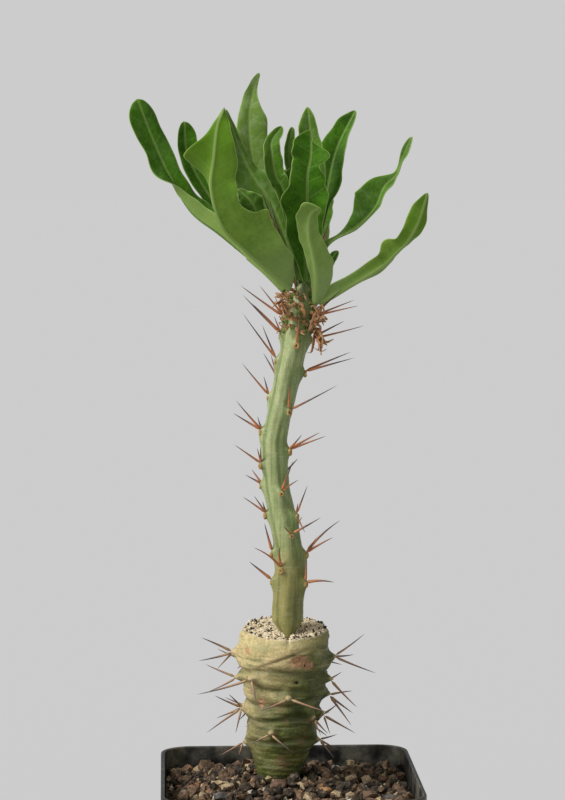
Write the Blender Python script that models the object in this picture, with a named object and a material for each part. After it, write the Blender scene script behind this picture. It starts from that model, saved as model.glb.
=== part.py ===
"""A grafted pachypodium in a small square nursery pot.

A slender, thorny stem with a crown of long wavy leaves is grafted on a short, fat, thorny stock,
which stands in gritty mix in a thin black pot. All the tables are in millimetres. The origin is
the middle of the pot's underside, +Z is up, and the plant's best side looks along -Y.
"""

import math
import random

import bmesh
import bpy
import numpy as np
from mathutils import Vector

MM = 0.001  # one millimetre in metres
GAP = 0.3  # clear gap between pieces that touch, mm

# Pot
POT_TOP = 75.0  # outside width across the rim
POT_BASE = 54.0
POT_HEIGHT = 76.0
RIM_RADIUS = 9.5
BASE_RADIUS = 7.0
WALL = 1.2
FLOOR = 2.0
BAND_Z = POT_HEIGHT - 9.0  # foot of the deeper band under the rim
BAND_STEP = 0.8  # how far the band stands out
RIM_EDGE = 0.4  # rounding of the rim and the foot
CORNER_STEPS = 6
SIDE_STEPS = 4
DRAIN_RADIUS = 3.0
DRAIN_PITCH = 15.0
DRAIN_COUNT = 8

# Potting mix: lower at the wall, heaped at the plant
MIX_AT_WALL = POT_HEIGHT - 7.0
MIX_AT_STOCK = POT_HEIGHT - 2.4
MOUND_REACH = 26.0  # the heap falls to the wall's level over this distance
MOUND_ROLL = 0.35  # height of the unevenness

# Stock: height, radius and the middle's x, y at each level
STOCK_LEVELS = (
    (56.0, 2.6, -3.0, 5.0),
    (63.0, 4.8, -3.0, 5.0),
    (70.0, 6.5, -3.0, 5.0),
    (74.0, 7.3, -2.9, 5.0),
    (78.0, 8.2, -2.5, 5.1),
    (82.0, 9.0, -2.4, 5.2),
    (85.0, 10.3, -2.1, 5.3),
    (90.0, 10.8, -1.9, 5.4),
    (95.0, 11.2, -1.6, 5.5),
    (98.5, 12.3, -0.9, 5.6),
    (103.0, 12.9, -1.3, 5.8),
    (108.0, 13.7, -1.3, 6.0),
    (112.0, 13.9, -1.4, 6.0),
    (115.5, 13.6, -1.0, 6.0),
    (117.6, 12.4, -0.9, 6.0),
    (118.6, 10.4, -0.9, 6.0),
)
STOCK_RINGS = (85.5, 92.0, 97.0, 101.5, 106.0)  # heights of the creases round it
CREASE_DEEP = 0.55
CREASE_WIDE = 1.1
STOCK_GROOVE = 0.25  # depth of the shallow hollows that wind round the stock
STOCK_SIDES = 28
NOTCH_FLOOR = 112.6  # bottom of the V cut that takes the graft
NOTCH_SLOPE = 0.78  # half width gained per millimetre of height
NOTCH_FRONT = 30.0  # the cut runs this far to the front of the stem, clear of the stock
NOTCH_CLEAR = 6.0  # and this far above the stock's top

# Grafted stem: height, radius and the middle's x, y at each level
STEM_LEVELS = (
    (120.6, 4.9, -0.4, 2.0),
    (125.5, 4.9, -0.2, 2.1),
    (130.5, 5.1, 0.3, 2.3),
    (135.5, 5.0, 0.7, 2.6),
    (139.0, 4.7, 0.3, 2.8),
    (144.0, 4.5, -0.4, 3.1),
    (149.0, 4.6, -1.3, 3.5),
    (154.0, 4.3, -2.4, 3.9),
    (159.5, 4.1, -3.4, 4.2),
    (162.5, 4.1, -3.6, 4.4),
    (167.5, 4.3, -4.0, 4.6),
    (173.0, 4.2, -4.2, 4.8),
    (178.0, 4.0, -3.1, 5.0),
    (185.5, 4.1, -1.4, 5.0),
    (192.5, 4.2, 0.0, 5.0),
    (199.5, 4.2, 1.6, 5.0),
    (207.0, 4.3, 2.8, 5.0),
    (213.0, 4.2, 3.8, 5.0),
    (216.5, 3.2, 4.2, 5.0),
    (218.6, 1.5, 4.4, 5.0),
)
STEM_SIDES = 18
STEM_STEP = 2.1  # height between rings
WEDGE_TOP = 120.6  # the stem's cut wedge starts here
WEDGE_FOOT = 114.2  # and ends here
WEDGE_DEEP = 4.4  # half the wedge's depth along Y
WEDGE_THIN = 0.12  # half the width of its foot, as a share of the stem's radius
STEM_GROOVE = 0.16  # depth of the soft grooves between the stem's ribs


# ---------------------------------------------------------------- curves and blades
def through(points, t):
    """The value at t, from 0 to 1, on a smooth curve through evenly numbered points."""
    points = np.asarray(points, float)
    last = len(points) - 1
    i = min(int(t * last), last - 1)
    u = t * last - i
    p0 = points[i - 1] if i > 0 else 2 * points[i] - points[i + 1]
    p3 = points[i + 2] if i + 2 <= last else 2 * points[i + 1] - points[i]
    p1, p2 = points[i], points[i + 1]
    return (
        p1
        + 0.5 * u * (p2 - p0)
        + u * u * (p0 - 2.5 * p1 + 2 * p2 - 0.5 * p3)
        + 0.5 * u**3 * (3 * p1 - p0 - 3 * p2 + p3)
    )


def unit(v):
    return np.asarray(v, float) / np.linalg.norm(v)


# Each leaf: points along its midrib from stalk to tip; the half widths on its first and second
# side at even stations; the way its upper face looks at the base and at the tip; the angle in
# degrees that its halves fold up by at the base and at the tip, or at even stations of the first
# (fold_a) and second (fold_b) side; the height, number and start of the waves on its margins.
LEAVES = {
    "leaf_far_left": dict(
        rib=(
            (-1.2, 7.5, 216.5), (-8, 8, 223), (-19, 11, 232), (-28, 14, 239),
            (-34, 16, 249), (-39, 17, 260), (-43.7, 17, 272.3),
        ),
        a=(0.8, 2.0, 3.2, 4.0, 4.4, 4.2, 3.6, 4.4, 4.2, 5.2, 4.4),
        b=(0.8, 2.2, 3.5, 4.6, 5.6, 6.4, 4.3, 3.9, 4.1, 4.0, 3.6),
        face=((0.65, -0.45, 0.65), (0.3, -1, 0.1)),
        fold=(50, 5),
        fold_a=(60, 70, 85, 100, 112, 112, 85, 12, 5, 5, 5),
        fold_b=(50, 40, 35, 30, 25, 22, 18, 12, 8, 5, 5),
        wave=(0.5, 2.5, 0.1),
    ),
    "leaf_back_left": dict(
        rib=(
            (0.5, 9.5, 217), (-7, 13, 228), (-17, 18, 236), (-24, 22, 246),
            (-29, 24, 256), (-30, 24, 266),
        ),
        a=(0.7, 1.5, 2.5, 3.0, 3.0, 2.6, 2.2),
        b=(0.7, 1.5, 2.5, 3.2, 3.5, 3.6, 3.2),
        face=((0.4, -0.7, 0.6), (0.2, -1, 0.1)),
        fold=(25, 12),
        wave=(0.5, 2.0, 0.3),
    ),
    "leaf_big_left": dict(
        rib=(
            (0.0, 0.2, 217.2), (-6, -3, 222.4), (-13, -7, 228.8), (-19.6, -11, 235.6),
            (-22.7, -15, 246), (-22, -17, 255), (-21, -17, 263.5), (-19, -16, 268.8),
        ),
        a=(1.2, 7.5, 10.8, 11.8, 12.8, 7.6, 7.4, 6.6, 5.2, 3.0, 0.8),
        b=(1.0, 3.5, 4.6, 5.0, 4.6, 3.6, 2.6, 8.6, 3.4, 0.9, 0.5),
        face=((0.54, 0.5, 0.68), (0, 1, 0.1)),
        fold=(50, 0),
        fold_a=(50, 30, 22, 18, 15, 10, 5, 2, 0, 0, 0),
        fold_b=(60, 85, 95, 95, 95, 90, 45, 3, 0, 0, 0),
        wave=(0.7, 3.0, 0.2),
    ),
    "leaf_tall_back": dict(
        rib=(
            (2.2, 8.2, 219.2), (-1, 13, 231), (-5, 16, 241), (-10, 18, 255),
            (-11, 19, 267), (-9.6, 19, 275), (-8, 18, 280),
        ),
        a=(0.8, 1.4, 2.0, 2.6, 3.2, 3.7, 3.8, 3.0, 2.3, 1.5, 0.9),
        b=(0.8, 1.4, 2.0, 2.8, 3.6, 4.4, 5.6, 4.5, 1.6, 0.8, 0.8),
        face=((0.2, -0.8, 0.5), (0, -1, 0.2)),
        fold=(22, 8),
        wave=(0.6, 2.5, 0.0),
    ),
    "leaf_dark_left": dict(
        rib=(
            (1.6, 4.6, 219.6), (-1, 5, 231), (-5, 6, 242), (-11, 7, 251),
            (-15, 7, 260), (-18, 6, 269),
        ),
        a=(0.8, 4.0, 8.6, 9.4, 7.2, 3.8, 1.5),
        b=(0.8, 2.2, 4.5, 4.3, 2.2, 1.2, 0.8),
        face=((0.3, -0.9, 0.4), (0.4, -0.9, 0.3)),
        fold=(30, 25),
        fold_a=(30, 10, -12, -18, 0, 25, 25),
        wave=(0.9, 3.0, 0.4),
    ),
    "leaf_low_left": dict(
        rib=((1.2, 1.7, 219.0), (-2.0, -1.0, 226), (-7, -3, 234), (-11, -4, 242), (-15, -4, 246)),
        a=(0.7, 2.0, 3.0, 3.4, 3.4, 3.0, 2.0),
        b=(0.7, 2.0, 3.0, 3.4, 3.4, 3.0, 2.0),
        face=((0.3, -0.9, 0.4), (0.4, -0.9, 0.3)),
        fold=(20, 15),
        wave=(0.5, 2.0, 0.2),
    ),
    "leaf_centre_left": dict(
        rib=(
            (2.6, 2.6, 219.8), (1, 1, 234), (-2, 0, 246), (-4, 0, 250),
            (-5, 0, 256), (-5, 1, 260), (-2, 2, 264),
        ),
        a=(0.7, 1.5, 2.5, 3.0, 2.8, 1.9, 1.1),
        b=(0.7, 1.5, 2.5, 2.9, 2.9, 2.4, 1.5),
        face=((0.1, -1, 0.2), (0.1, -1, 0.1)),
        fold=(25, 20),
        wave=(0.5, 2.0, 0.1),
    ),
    "leaf_young_tall": dict(
        rib=((3.8, 5.6, 220.5), (2.5, 7.4, 234), (0.8, 7.8, 251), (0.1, 7, 257), (1.2, 7, 264)),
        a=(0.6, 1.0, 1.6, 1.8, 1.8, 1.5, 1.2),
        b=(0.6, 1.0, 1.6, 1.8, 1.8, 1.5, 1.2),
        face=((0.2, -1, 0.1), (0.2, -1, 0.1)),
        fold=(30, 25),
        wave=(0.3, 1.5, 0.0),
    ),
    "leaf_young_short": dict(
        rib=((3.2, 4.0, 220.4), (1.5, 3, 238), (-1, 2.5, 247), (0.5, 2, 252)),
        a=(0.6, 1.0, 1.3, 1.5, 1.4, 1.2, 1.0),
        b=(0.6, 1.0, 1.3, 1.5, 1.4, 1.2, 1.0),
        face=((0.2, -1, 0.1), (0.2, -1, 0.1)),
        fold=(30, 25),
        wave=(0.2, 1.5, 0.0),
    ),
    "leaf_centre_back": dict(
        rib=((5.2, 8.2, 219.3), (5, 10.4, 234), (8, 12, 249), (7, 13, 260), (6, 14, 270)),
        a=(0.7, 1.5, 2.5, 3.4, 4.6, 3.7, 1.3),
        b=(0.7, 1.5, 2.6, 3.2, 3.3, 2.4, 1.2),
        face=((0, -1, 0.3), (0, -1, 0.2)),
        fold=(25, 20),
        wave=(0.5, 2.5, 0.3),
    ),
    "leaf_centre": dict(
        rib=((5.0, 2.0, 219.3), (4.5, -1, 231), (5, -3, 243), (5, -4, 250), (6, -4, 256), (6, -3, 263)),
        a=(0.9, 2.8, 5.0, 6.4, 8.1, 6.2, 5.0, 5.3, 5.6, 5.4, 2.8),
        b=(0.9, 2.8, 4.6, 5.2, 6.2, 5.6, 5.4, 3.2, 5.4, 0.9, 0.6),
        face=((0, -1, 0.2), (0, -1, 0.1)),
        fold=(22, 12),
        wave=(0.6, 2.5, 0.0),
    ),
    "leaf_back_right": dict(
        rib=((7.4, 8.0, 217.2), (9.8, 11.4, 233), (12, 16, 246), (15, 19, 258), (20.6, 22, 269.2)),
        a=(0.8, 2.5, 4.5, 5.5, 5.5, 4.3, 1.6),
        b=(0.8, 0.9, 0.9, 1.0, 2.0, 4.4, 4.0, 3.6, 2.7, 1.9, 1.4),
        face=((-0.3, -0.9, 0.3), (-0.3, -1, 0.1)),
        fold=(25, 22),
        wave=(0.6, 2.0, 0.2),
    ),
    "leaf_front": dict(
        rib=(
            (7.6, 0.0, 213), (7.5, -6, 221), (6.2, -9, 228), (5, -11, 233),
            (5, -13, 238), (6, -14, 240), (7.5, -16, 241),
        ),
        a=(1.4, 4.6, 5.4, 5.0, 4.0, 3.3, 2.8, 2.6, 2.4, 2.2, 1.8),
        b=(0.9, 1.4, 2.0, 2.3, 2.6, 3.0, 3.4, 3.9, 3.8, 3.2, 2.0),
        face=((-0.1, 0.9, 0.4), (0, 0.5, 0.8)),
        fold=(15, 10),
        wave=(0.5, 2.0, 0.0),
    ),
    "leaf_right_upper": dict(
        rib=(
            (8.2, 6.0, 216.6), (11, 7, 229.5), (20, 8, 235), (25.5, 9, 240.5),
            (28.3, 10, 246.6), (31.8, 11, 250.2), (33.7, 12, 255), (36.4, 12, 261.3),
        ),
        a=(0.8, 2.4, 0.6, 4.2, 6.6, 6.7, 3.4, 1.5, 0.6, 1.2, 1.2),
        b=(0.8, 2.4, 0.5, 1.6, 3.2, 2.0, 3.6, 1.5, 0.8, 2.0, 1.5),
        face=((-0.42, -0.7, 0.56), (-0.6, -0.8, 0.2)),
        fold=(40, 30),
        wave=(0.5, 2.5, 0.0),
    ),
    "leaf_right_lower": dict(
        rib=(
            (9.0, 2.6, 212.9), (16, 0, 217.3), (26, -4, 223.8), (30, -7, 227.8),
            (33, -9, 231), (36.2, -11, 237), (38.6, -12, 245),
        ),
        a=(0.9, 1.2, 1.0, 2.9, 1.6, 0.8, 0.9, 2.0, 2.9, 1.8, 1.4),
        b=(1.2, 3.2, 2.7, 3.5, 3.8, 4.7, 3.9, 3.3, 3.5, 3.1, 1.8),
        face=((-0.2, 0.8, 0.6), (-0.3, 0.9, 0.3)),
        fold=(25, 8),
        wave=(0.5, 3.0, 0.3),
    ),
    "leaf_small_right": dict(
        rib=((7.6, 8.8, 214.6), (11, 12, 222), (15, 16, 228)),
        a=(0.6, 1.0, 1.5, 2.0, 2.0, 1.5, 1.0),
        b=(0.6, 1.0, 1.5, 2.0, 2.0, 1.5, 1.0),
        face=((-0.4, -0.8, 0.4), (-0.4, -0.8, 0.4)),
        fold=(20, 15),
        wave=(0.3, 1.5, 0.0),
    ),
    "leaf_rear_centre": dict(
        rib=((3.4, 10.0, 216.0), (1, 17, 229), (0, 25, 241), (1, 31, 252)),
        a=(0.8, 2.0, 4.0, 5.0, 5.0, 4.0, 2.5),
        b=(0.8, 2.0, 4.0, 5.0, 5.0, 4.0, 2.5),
        face=((0.1, -0.7, 0.7), (0, -0.9, 0.4)),
        fold=(25, 10),
        wave=(0.7, 2.5, 0.2),
    ),
    "leaf_rear_right": dict(
        rib=((5.8, 10.0, 214.6), (8.4, 18, 228), (10, 26, 239), (11, 32, 248)),
        a=(0.8, 2.0, 4.0, 4.6, 4.6, 4.0, 2.5),
        b=(0.8, 2.0, 4.0, 4.6, 4.6, 4.0, 2.5),
        face=((-0.3, -0.7, 0.7), (-0.2, -0.8, 0.5)),
        fold=(25, 10),
        wave=(0.7, 2.5, 0.6),
    ),
    "leaf_rear_left": dict(
        rib=((0.9, 9.6, 213.8), (-6, 18, 223), (-13, 28, 231), (-17, 36, 239)),
        a=(0.8, 2.0, 4.0, 5.0, 5.0, 4.2, 2.5),
        b=(0.8, 2.0, 4.0, 5.0, 5.0, 4.2, 2.5),
        face=((0.4, -0.6, 0.8), (0.3, -0.7, 0.6)),
        fold=(25, 10),
        wave=(0.8, 2.5, 0.4),
    ),
    "leaf_rear_low": dict(
        rib=((4.6, 10.4, 212.8), (5.5, 20, 219), (5, 32, 224), (4, 43, 231)),
        a=(0.8, 2.0, 4.0, 5.2, 5.2, 4.4, 2.5),
        b=(0.8, 2.0, 4.0, 5.2, 5.2, 4.4, 2.5),
        face=((0, -0.4, 0.9), (0, -0.6, 0.8)),
        fold=(25, 10),
        wave=(0.8, 2.5, 0.1),
    ),
}
BLADE_STEPS = 11  # along a leaf
BLADE_ACROSS = 4  # across it
BLADE_THICK = 0.5
RIB_THICK = 1.3  # at the midrib, near the stalk
TIP_ROUND = 0.1  # the last part of a leaf, rounded off


def blade_point(leaf, t, s):
    """A point of a leaf's middle surface and its normal there.

    t runs from the stalk to the tip and s from -1, the first side, to 1, the second.
    """
    ahead = through(leaf["rib"], min(t + 0.01, 1.0))
    behind = through(leaf["rib"], max(t - 0.01, 0.0))
    along = unit(ahead - behind)
    look = (1 - t) * unit(leaf["face"][0]) + t * unit(leaf["face"][1])
    across = unit(np.cross(along, look))
    up = np.cross(across, along)
    half = float(through(leaf["b"] if s > 0 else leaf["a"], t))
    if t > 1 - TIP_ROUND:
        half *= math.sqrt(max(1 - ((t - 1 + TIP_ROUND) / TIP_ROUND) ** 2, 0.02))
    fold = math.radians(float(through(leaf.get("fold_b" if s > 0 else "fold_a", leaf["fold"]), t)))
    high, count, start = leaf["wave"]
    shift = start + (0.37 if s > 0 else 0.0)
    ripple = high * s * s * min(half / 3, 1.2) * math.sin(2 * math.pi * (count * t + shift))
    reach = abs(s) * half
    side = 1 if s > 0 else -1
    spot = through(leaf["rib"], t) + across * side * reach * math.cos(fold)
    spot = spot + up * (reach * math.sin(fold) + ripple)
    normal = unit(up * math.cos(fold) - across * side * math.sin(fold) * min(abs(s) * 3, 1))
    return spot, normal


# Thorn clusters: height, bearing in degrees (0 is +X, 90 is +Y, 270 faces the viewer), then
# each thorn's length, how far it turns off the cluster's bearing, and how steeply it rises.
STEM_THORNS = (
    (209.0, 182, ((15.0, 0, 32), (10.9, 14, 48), (5.0, -22, 56))),
    (209.3, 336, ((12.8, -16, 33), (12.5, 10, 20), (14.8, -6, 13))),
    (204.0, 176, ((15.1, 0, 41), (11.7, 16, 45), (4.0, -20, 60))),
    (202.6, 348, ((10.7, 14, 26), (16.2, -4, 12))),
    (201.5, 272, ((9.0, 4, 50),)),
    (196.6, 184, ((15.7, 0, 49), (9.7, 16, 60))),
    (193.0, 358, ((14.6, 6, 22), (15.1, -8, 15))),
    (186.0, 182, ((11.4, 0, 46), (4.0, -26, 70))),
    (182.0, 300, ((15.0, 42, 26), (8.5, -20, 62))),
    (176.0, 184, ((9.3, -8, 26), (10.8, 8, 43), (3.0, 30, 60))),
    (170.4, 338, ((11.7, 4, 20), (9.8, 20, 28), (6.0, -16, 37))),
    (166.4, 205, ((9.3, -10, 32), (3.6, 16, 60), (3.8, 34, 66))),
    (160.3, 176, ((5.1, 4, 24), (4.1, -14, 45))),
    (158.5, 282, ((9.0, 20, 58), (5.0, 44, 36))),
    (151.8, 190, ((8.0, -4, 33), (5.8, 12, 45), (3.0, 30, 52))),
    (151.6, 328, ((3.0, -30, 50), (7.6, 8, 64), (4.5, 0, -50))),
    (146.3, 286, ((9.0, 46, 28), (2.6, -40, 35))),
    (140.5, 188, ((7.1, 0, 70),)),
    (140.2, 350, ((12.6, 6, 52), (4.5, -16, 30), (9.0, -4, 30))),
    (136.3, 236, ((9.0, -34, 48), (5.5, 20, 72))),
    (132.3, 184, ((8.2, 0, 35),)),
    (132.0, 322, ((6.0, -24, 70), (7.8, 26, 12))),
    (206.0, 95, ((12.0, -14, 34), (9.0, 14, 46))),
    (198.0, 62, ((12.0, -10, 30), (10.0, 14, 42))),
    (190.0, 118, ((11.0, -12, 34), (9.0, 12, 50))),
    (181.0, 74, ((10.0, -12, 30), (8.5, 12, 44))),
    (171.0, 104, ((9.5, -12, 32), (7.0, 12, 46))),
    (162.0, 66, ((9.0, -12, 28), (6.0, 14, 48))),
    (153.0, 112, ((8.0, -12, 34), (6.0, 12, 44))),
    (144.0, 76, ((9.0, -12, 30), (6.0, 12, 52))),
    (135.0, 108, ((8.0, -12, 26), (5.0, 12, 48))),
)
STOCK_THORNS = (
    (110.6, 180, ((10.3, 6, 25), (10.4, 0, -16), (6.6, -16, -41))),
    (109.2, 358, ((10.9, 8, 27), (13.2, -4, -21), (7.0, 24, -6))),
    (104.6, 226, ((14.5, -34, -21), (6.0, 30, -48))),
    (103.4, 186, ((9.8, -10, 16), (8.7, 4, -25))),
    (103.2, 342, ((3.4, 20, 18), (10.6, 8, -45))),
    (99.4, 272, ((4.6, -52, -34), (9.0, 50, -22))),
    (97.6, 2, ((7.5, 10, 8), (8.6, 0, -33), (10.0, -14, -45))),
    (94.6, 190, ((6.0, 16, 41), (9.0, 0, 19), (8.0, -14, -22), (12.5, 4, -27), (6.0, 24, -58))),
    (92.4, 318, ((5.0, -10, -42), (4.6, 18, -48))),
    (92.2, 352, ((5.2, 6, 25), (10.7, -2, -25), (4.6, -24, -52))),
    (88.8, 252, ((3.8, -46, -38), (4.8, 48, -50))),
    (84.8, 354, ((5.6, 8, 6), (6.7, -4, -22), (6.6, -18, -36))),
    (84.4, 188, ((8.2, 0, -26), (3.6, 26, -40))),
    (110.0, 92, ((10.0, 24, 18), (11.0, -22, -10), (6.0, 0, -40))),
    (107.0, 48, ((9.0, 20, 20), (9.0, -16, -18))),
    (106.0, 136, ((9.0, 20, 16), (10.0, -18, -20))),
    (99.6, 112, ((9.0, 22, 10), (9.0, -20, -26))),
    (98.4, 66, ((8.5, 18, 14), (9.5, -18, -24))),
    (92.6, 138, ((8.0, 16, 12), (8.5, -14, -28))),
    (92.0, 88, ((8.0, 22, 6), (8.0, -20, -30))),
    (88.0, 46, ((7.0, 14, 8), (7.5, -14, -30))),
    (86.0, 116, ((6.5, 14, 0), (6.5, -14, -28))),
)
THORN_RADIUS = 0.42  # just above its base
THORN_TIP = 0.06
KNOB_HIGH = 0.9  # the swelling under a cluster
KNOB_SPREAD = 2.4

# Dry flower scraps: height, bearing and distance out from the stem's skin at three points
SCRAPS = (
    ((208.8, 240, 0.7), (212.0, 234, 3.0), (213.8, 226, 4.4)),
    ((205.2, 304, 0.7), (208.6, 308, 2.8), (211.6, 306, 3.6)),
    ((206.2, 322, 0.8), (204.2, 322, 3.2), (200.4, 320, 4.0)),
)
SCRAP_HALF = (0.5, 1.3, 0.7)

# Larger stones lying on the mix: x, y, length, width, height, and the colour's name
STONES = (
    (15.4, 21.6, 4.6, 3.4, 2.8, "pumice"),
    (-11.5, -11.0, 2.2, 1.9, 1.6, "pale"),
    (-17.0, -6.0, 3.6, 3.0, 2.2, "tan"),
    (-20.5, -12.0, 5.0, 4.0, 2.8, "slate"),
    (-30.5, -7.0, 5.2, 3.8, 2.4, "tan"),
    (24.5, 10.5, 3.6, 3.0, 2.2, "ochre"),
    (28.6, 15.0, 3.4, 3.0, 2.2, "brick"),
    (2.5, -13.0, 3.0, 2.6, 2.0, "ochre"),
    (10.0, -11.0, 5.0, 4.0, 2.6, "ochre"),
    (29.0, -9.0, 5.0, 4.0, 2.8, "slate"),
    (-3.4, -9.6, 5.6, 4.4, 3.2, "umber"),
    (-20.4, 5.0, 2.6, 2.2, 1.8, "tan"),
    (-28.0, 1.5, 4.0, 3.2, 2.2, "brick"),
    (-13.0, 22.0, 4.2, 3.4, 2.4, "umber"),
    (19.5, -20.0, 4.6, 3.8, 2.6, "tan"),
    (-13.0, -22.0, 4.8, 3.6, 2.6, "brick"),
)

STONE_FLAT = -0.36  # a stone of height 1 is flat below this

# name: colour, roughness
FINISHES = {
    "pot_plastic": ((0.012, 0.013, 0.014), 0.5),
    "potting_mix": ((0.085, 0.052, 0.032), 0.95),
    "stock_skin": ((0.30, 0.34, 0.15), 0.6),
    "stem_skin": ((0.24, 0.34, 0.16), 0.5),
    "leaf": ((0.075, 0.20, 0.03), 0.55),
    "dry_scrap": ((0.42, 0.16, 0.06), 0.8),
    "stone_pumice": ((0.60, 0.57, 0.48), 0.95),
    "stone_pale": ((0.66, 0.64, 0.58), 0.8),
    "stone_tan": ((0.36, 0.26, 0.16), 0.85),
    "stone_slate": ((0.11, 0.10, 0.095), 0.85),
    "stone_ochre": ((0.38, 0.19, 0.08), 0.85),
    "stone_brick": ((0.24, 0.11, 0.065), 0.85),
    "stone_umber": ((0.10, 0.06, 0.038), 0.9),
}


# ---------------------------------------------------------------- mesh helpers
def finish(name):
    """The material of that name, made the first time it is asked for."""
    if name in bpy.data.materials:
        return bpy.data.materials[name]
    colour, roughness = FINISHES[name]
    material = bpy.data.materials.new(name)
    material.use_nodes = True
    shader = material.node_tree.nodes["Principled BSDF"]
    shader.inputs["Base Color"].default_value = (*colour, 1.0)
    shader.inputs["Roughness"].default_value = roughness
    return material


def add_object(name, bm, material, smooth=True):
    """Turn a mesh in millimetres into an object in metres."""
    bmesh.ops.recalc_face_normals(bm, faces=bm.faces)
    bmesh.ops.scale(bm, vec=(MM, MM, MM), verts=bm.verts)
    mesh = bpy.data.meshes.new(name)
    bm.to_mesh(mesh)
    bm.free()
    if smooth:
        mesh.shade_smooth()
    obj = bpy.data.objects.new(name, mesh)
    bpy.context.scene.collection.objects.link(obj)
    mesh.materials.append(finish(material))
    return obj


def loft(bm, loops, cap_first=True, cap_last=True):
    """Skin a row of closed loops that all have the same number of points."""
    rings = [[bm.verts.new(point) for point in loop] for loop in loops]
    for lower, upper in zip(rings, rings[1:]):
        for i in range(len(lower)):
            j = (i + 1) % len(lower)
            bm.faces.new((lower[i], lower[j], upper[j], upper[i]))
    if cap_first:
        bm.faces.new(rings[0][::-1])
    if cap_last:
        bm.faces.new(rings[-1])
    return rings


def cut(target, cutter):
    """Take the cutter's shape out of the target."""
    cutter.hide_render = True
    cutter.display_type = "WIRE"
    boolean = target.modifiers.new(cutter.name, "BOOLEAN")
    boolean.operation = "DIFFERENCE"
    boolean.solver = "EXACT"
    boolean.object = cutter


# ---------------------------------------------------------------- pot and mix
def square_loop(width, radius, z):
    """A rounded square as a closed loop of points, starting at the corner in +X, +Y."""
    inner = width / 2 - radius
    corners = ((1, 1), (-1, 1), (-1, -1), (1, -1))
    points = []
    for quarter, (sx, sy) in enumerate(corners):
        for k in range(CORNER_STEPS + 1):
            angle = math.radians(90 * (quarter + k / CORNER_STEPS))
            x = sx * inner + radius * math.cos(angle)
            y = sy * inner + radius * math.sin(angle)
            points.append((x, y))
        nx, ny = corners[(quarter + 1) % 4]
        angle = math.radians(90 * (quarter + 1))
        ahead_x = nx * inner + radius * math.cos(angle)
        ahead_y = ny * inner + radius * math.sin(angle)
        for k in range(1, SIDE_STEPS):
            f = k / SIDE_STEPS
            points.append((x + f * (ahead_x - x), y + f * (ahead_y - y)))
    return [(x, y, z) for x, y in points]


def pot_width(z):
    """The pot's outside width at a height."""
    if z > BAND_Z:
        return POT_TOP
    return POT_BASE + (POT_TOP - 2 * BAND_STEP - POT_BASE) * z / BAND_Z


def pot_radius(z):
    return BASE_RADIUS + (RIM_RADIUS - BASE_RADIUS) * z / POT_HEIGHT


def inside_loop(z, inset, wall_z=None):
    """A loop that follows the pot's inner wall at a height, set in by some distance."""
    wall_z = z if wall_z is None else wall_z
    return square_loop(pot_width(wall_z) - 2 * inset, pot_radius(wall_z) - inset, z)


def build_pot():
    edge = RIM_EDGE
    shoulder = BAND_Z - BAND_STEP
    bm = bmesh.new()
    loops = [
        square_loop(POT_BASE - 2 * edge, BASE_RADIUS - edge, 0),
        square_loop(POT_BASE, BASE_RADIUS, 2 * edge),
        inside_loop(shoulder, 0),
        inside_loop(BAND_Z, 0, POT_HEIGHT),
        inside_loop(POT_HEIGHT - edge, 0),
        inside_loop(POT_HEIGHT, edge),
        inside_loop(POT_HEIGHT, WALL - edge),
        inside_loop(POT_HEIGHT - edge, WALL),
        inside_loop(BAND_Z, WALL, POT_HEIGHT),
        inside_loop(shoulder, WALL),
        inside_loop(FLOOR + 1.0, WALL),
        inside_loop(FLOOR, WALL + 1.0),
    ]
    loft(bm, loops)
    pot = add_object("pot", bm, "pot_plastic")
    pot.data.set_sharp_from_angle(angle=math.radians(40))
    holes = bmesh.new()
    for k in range(DRAIN_COUNT):
        angle = 2 * math.pi * (k + 0.5) / DRAIN_COUNT
        made = bmesh.ops.create_cone(
            holes, cap_ends=True, segments=12, radius1=DRAIN_RADIUS, radius2=DRAIN_RADIUS, depth=8
        )
        offset = (DRAIN_PITCH * math.cos(angle), DRAIN_PITCH * math.sin(angle), 0)
        bmesh.ops.translate(holes, verts=made["verts"], vec=offset)
    cut(pot, add_object("drain_cutter", holes, "pot_plastic"))
    return pot


def levels_at(levels, z):
    """Radius and middle of a grown body at a height."""
    heights = [row[0] for row in levels]
    return [float(np.interp(z, heights, [row[i] for row in levels])) for i in (1, 2, 3)]


def mix_height(x, y):
    """Height of the mix's surface: heaped at the stock, dished at the wall."""
    radius, cx, cy = levels_at(STOCK_LEVELS, MIX_AT_STOCK)
    away = min(max((math.hypot(x - cx, y - cy) - radius) / MOUND_REACH, 0), 1)
    fall = away * away * (3 - 2 * away)
    roll = MOUND_ROLL * math.sin(0.55 * x + 1.0) * math.sin(0.6 * y + 0.4)
    return MIX_AT_STOCK - fall * (MIX_AT_STOCK - MIX_AT_WALL) + roll * away


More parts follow.
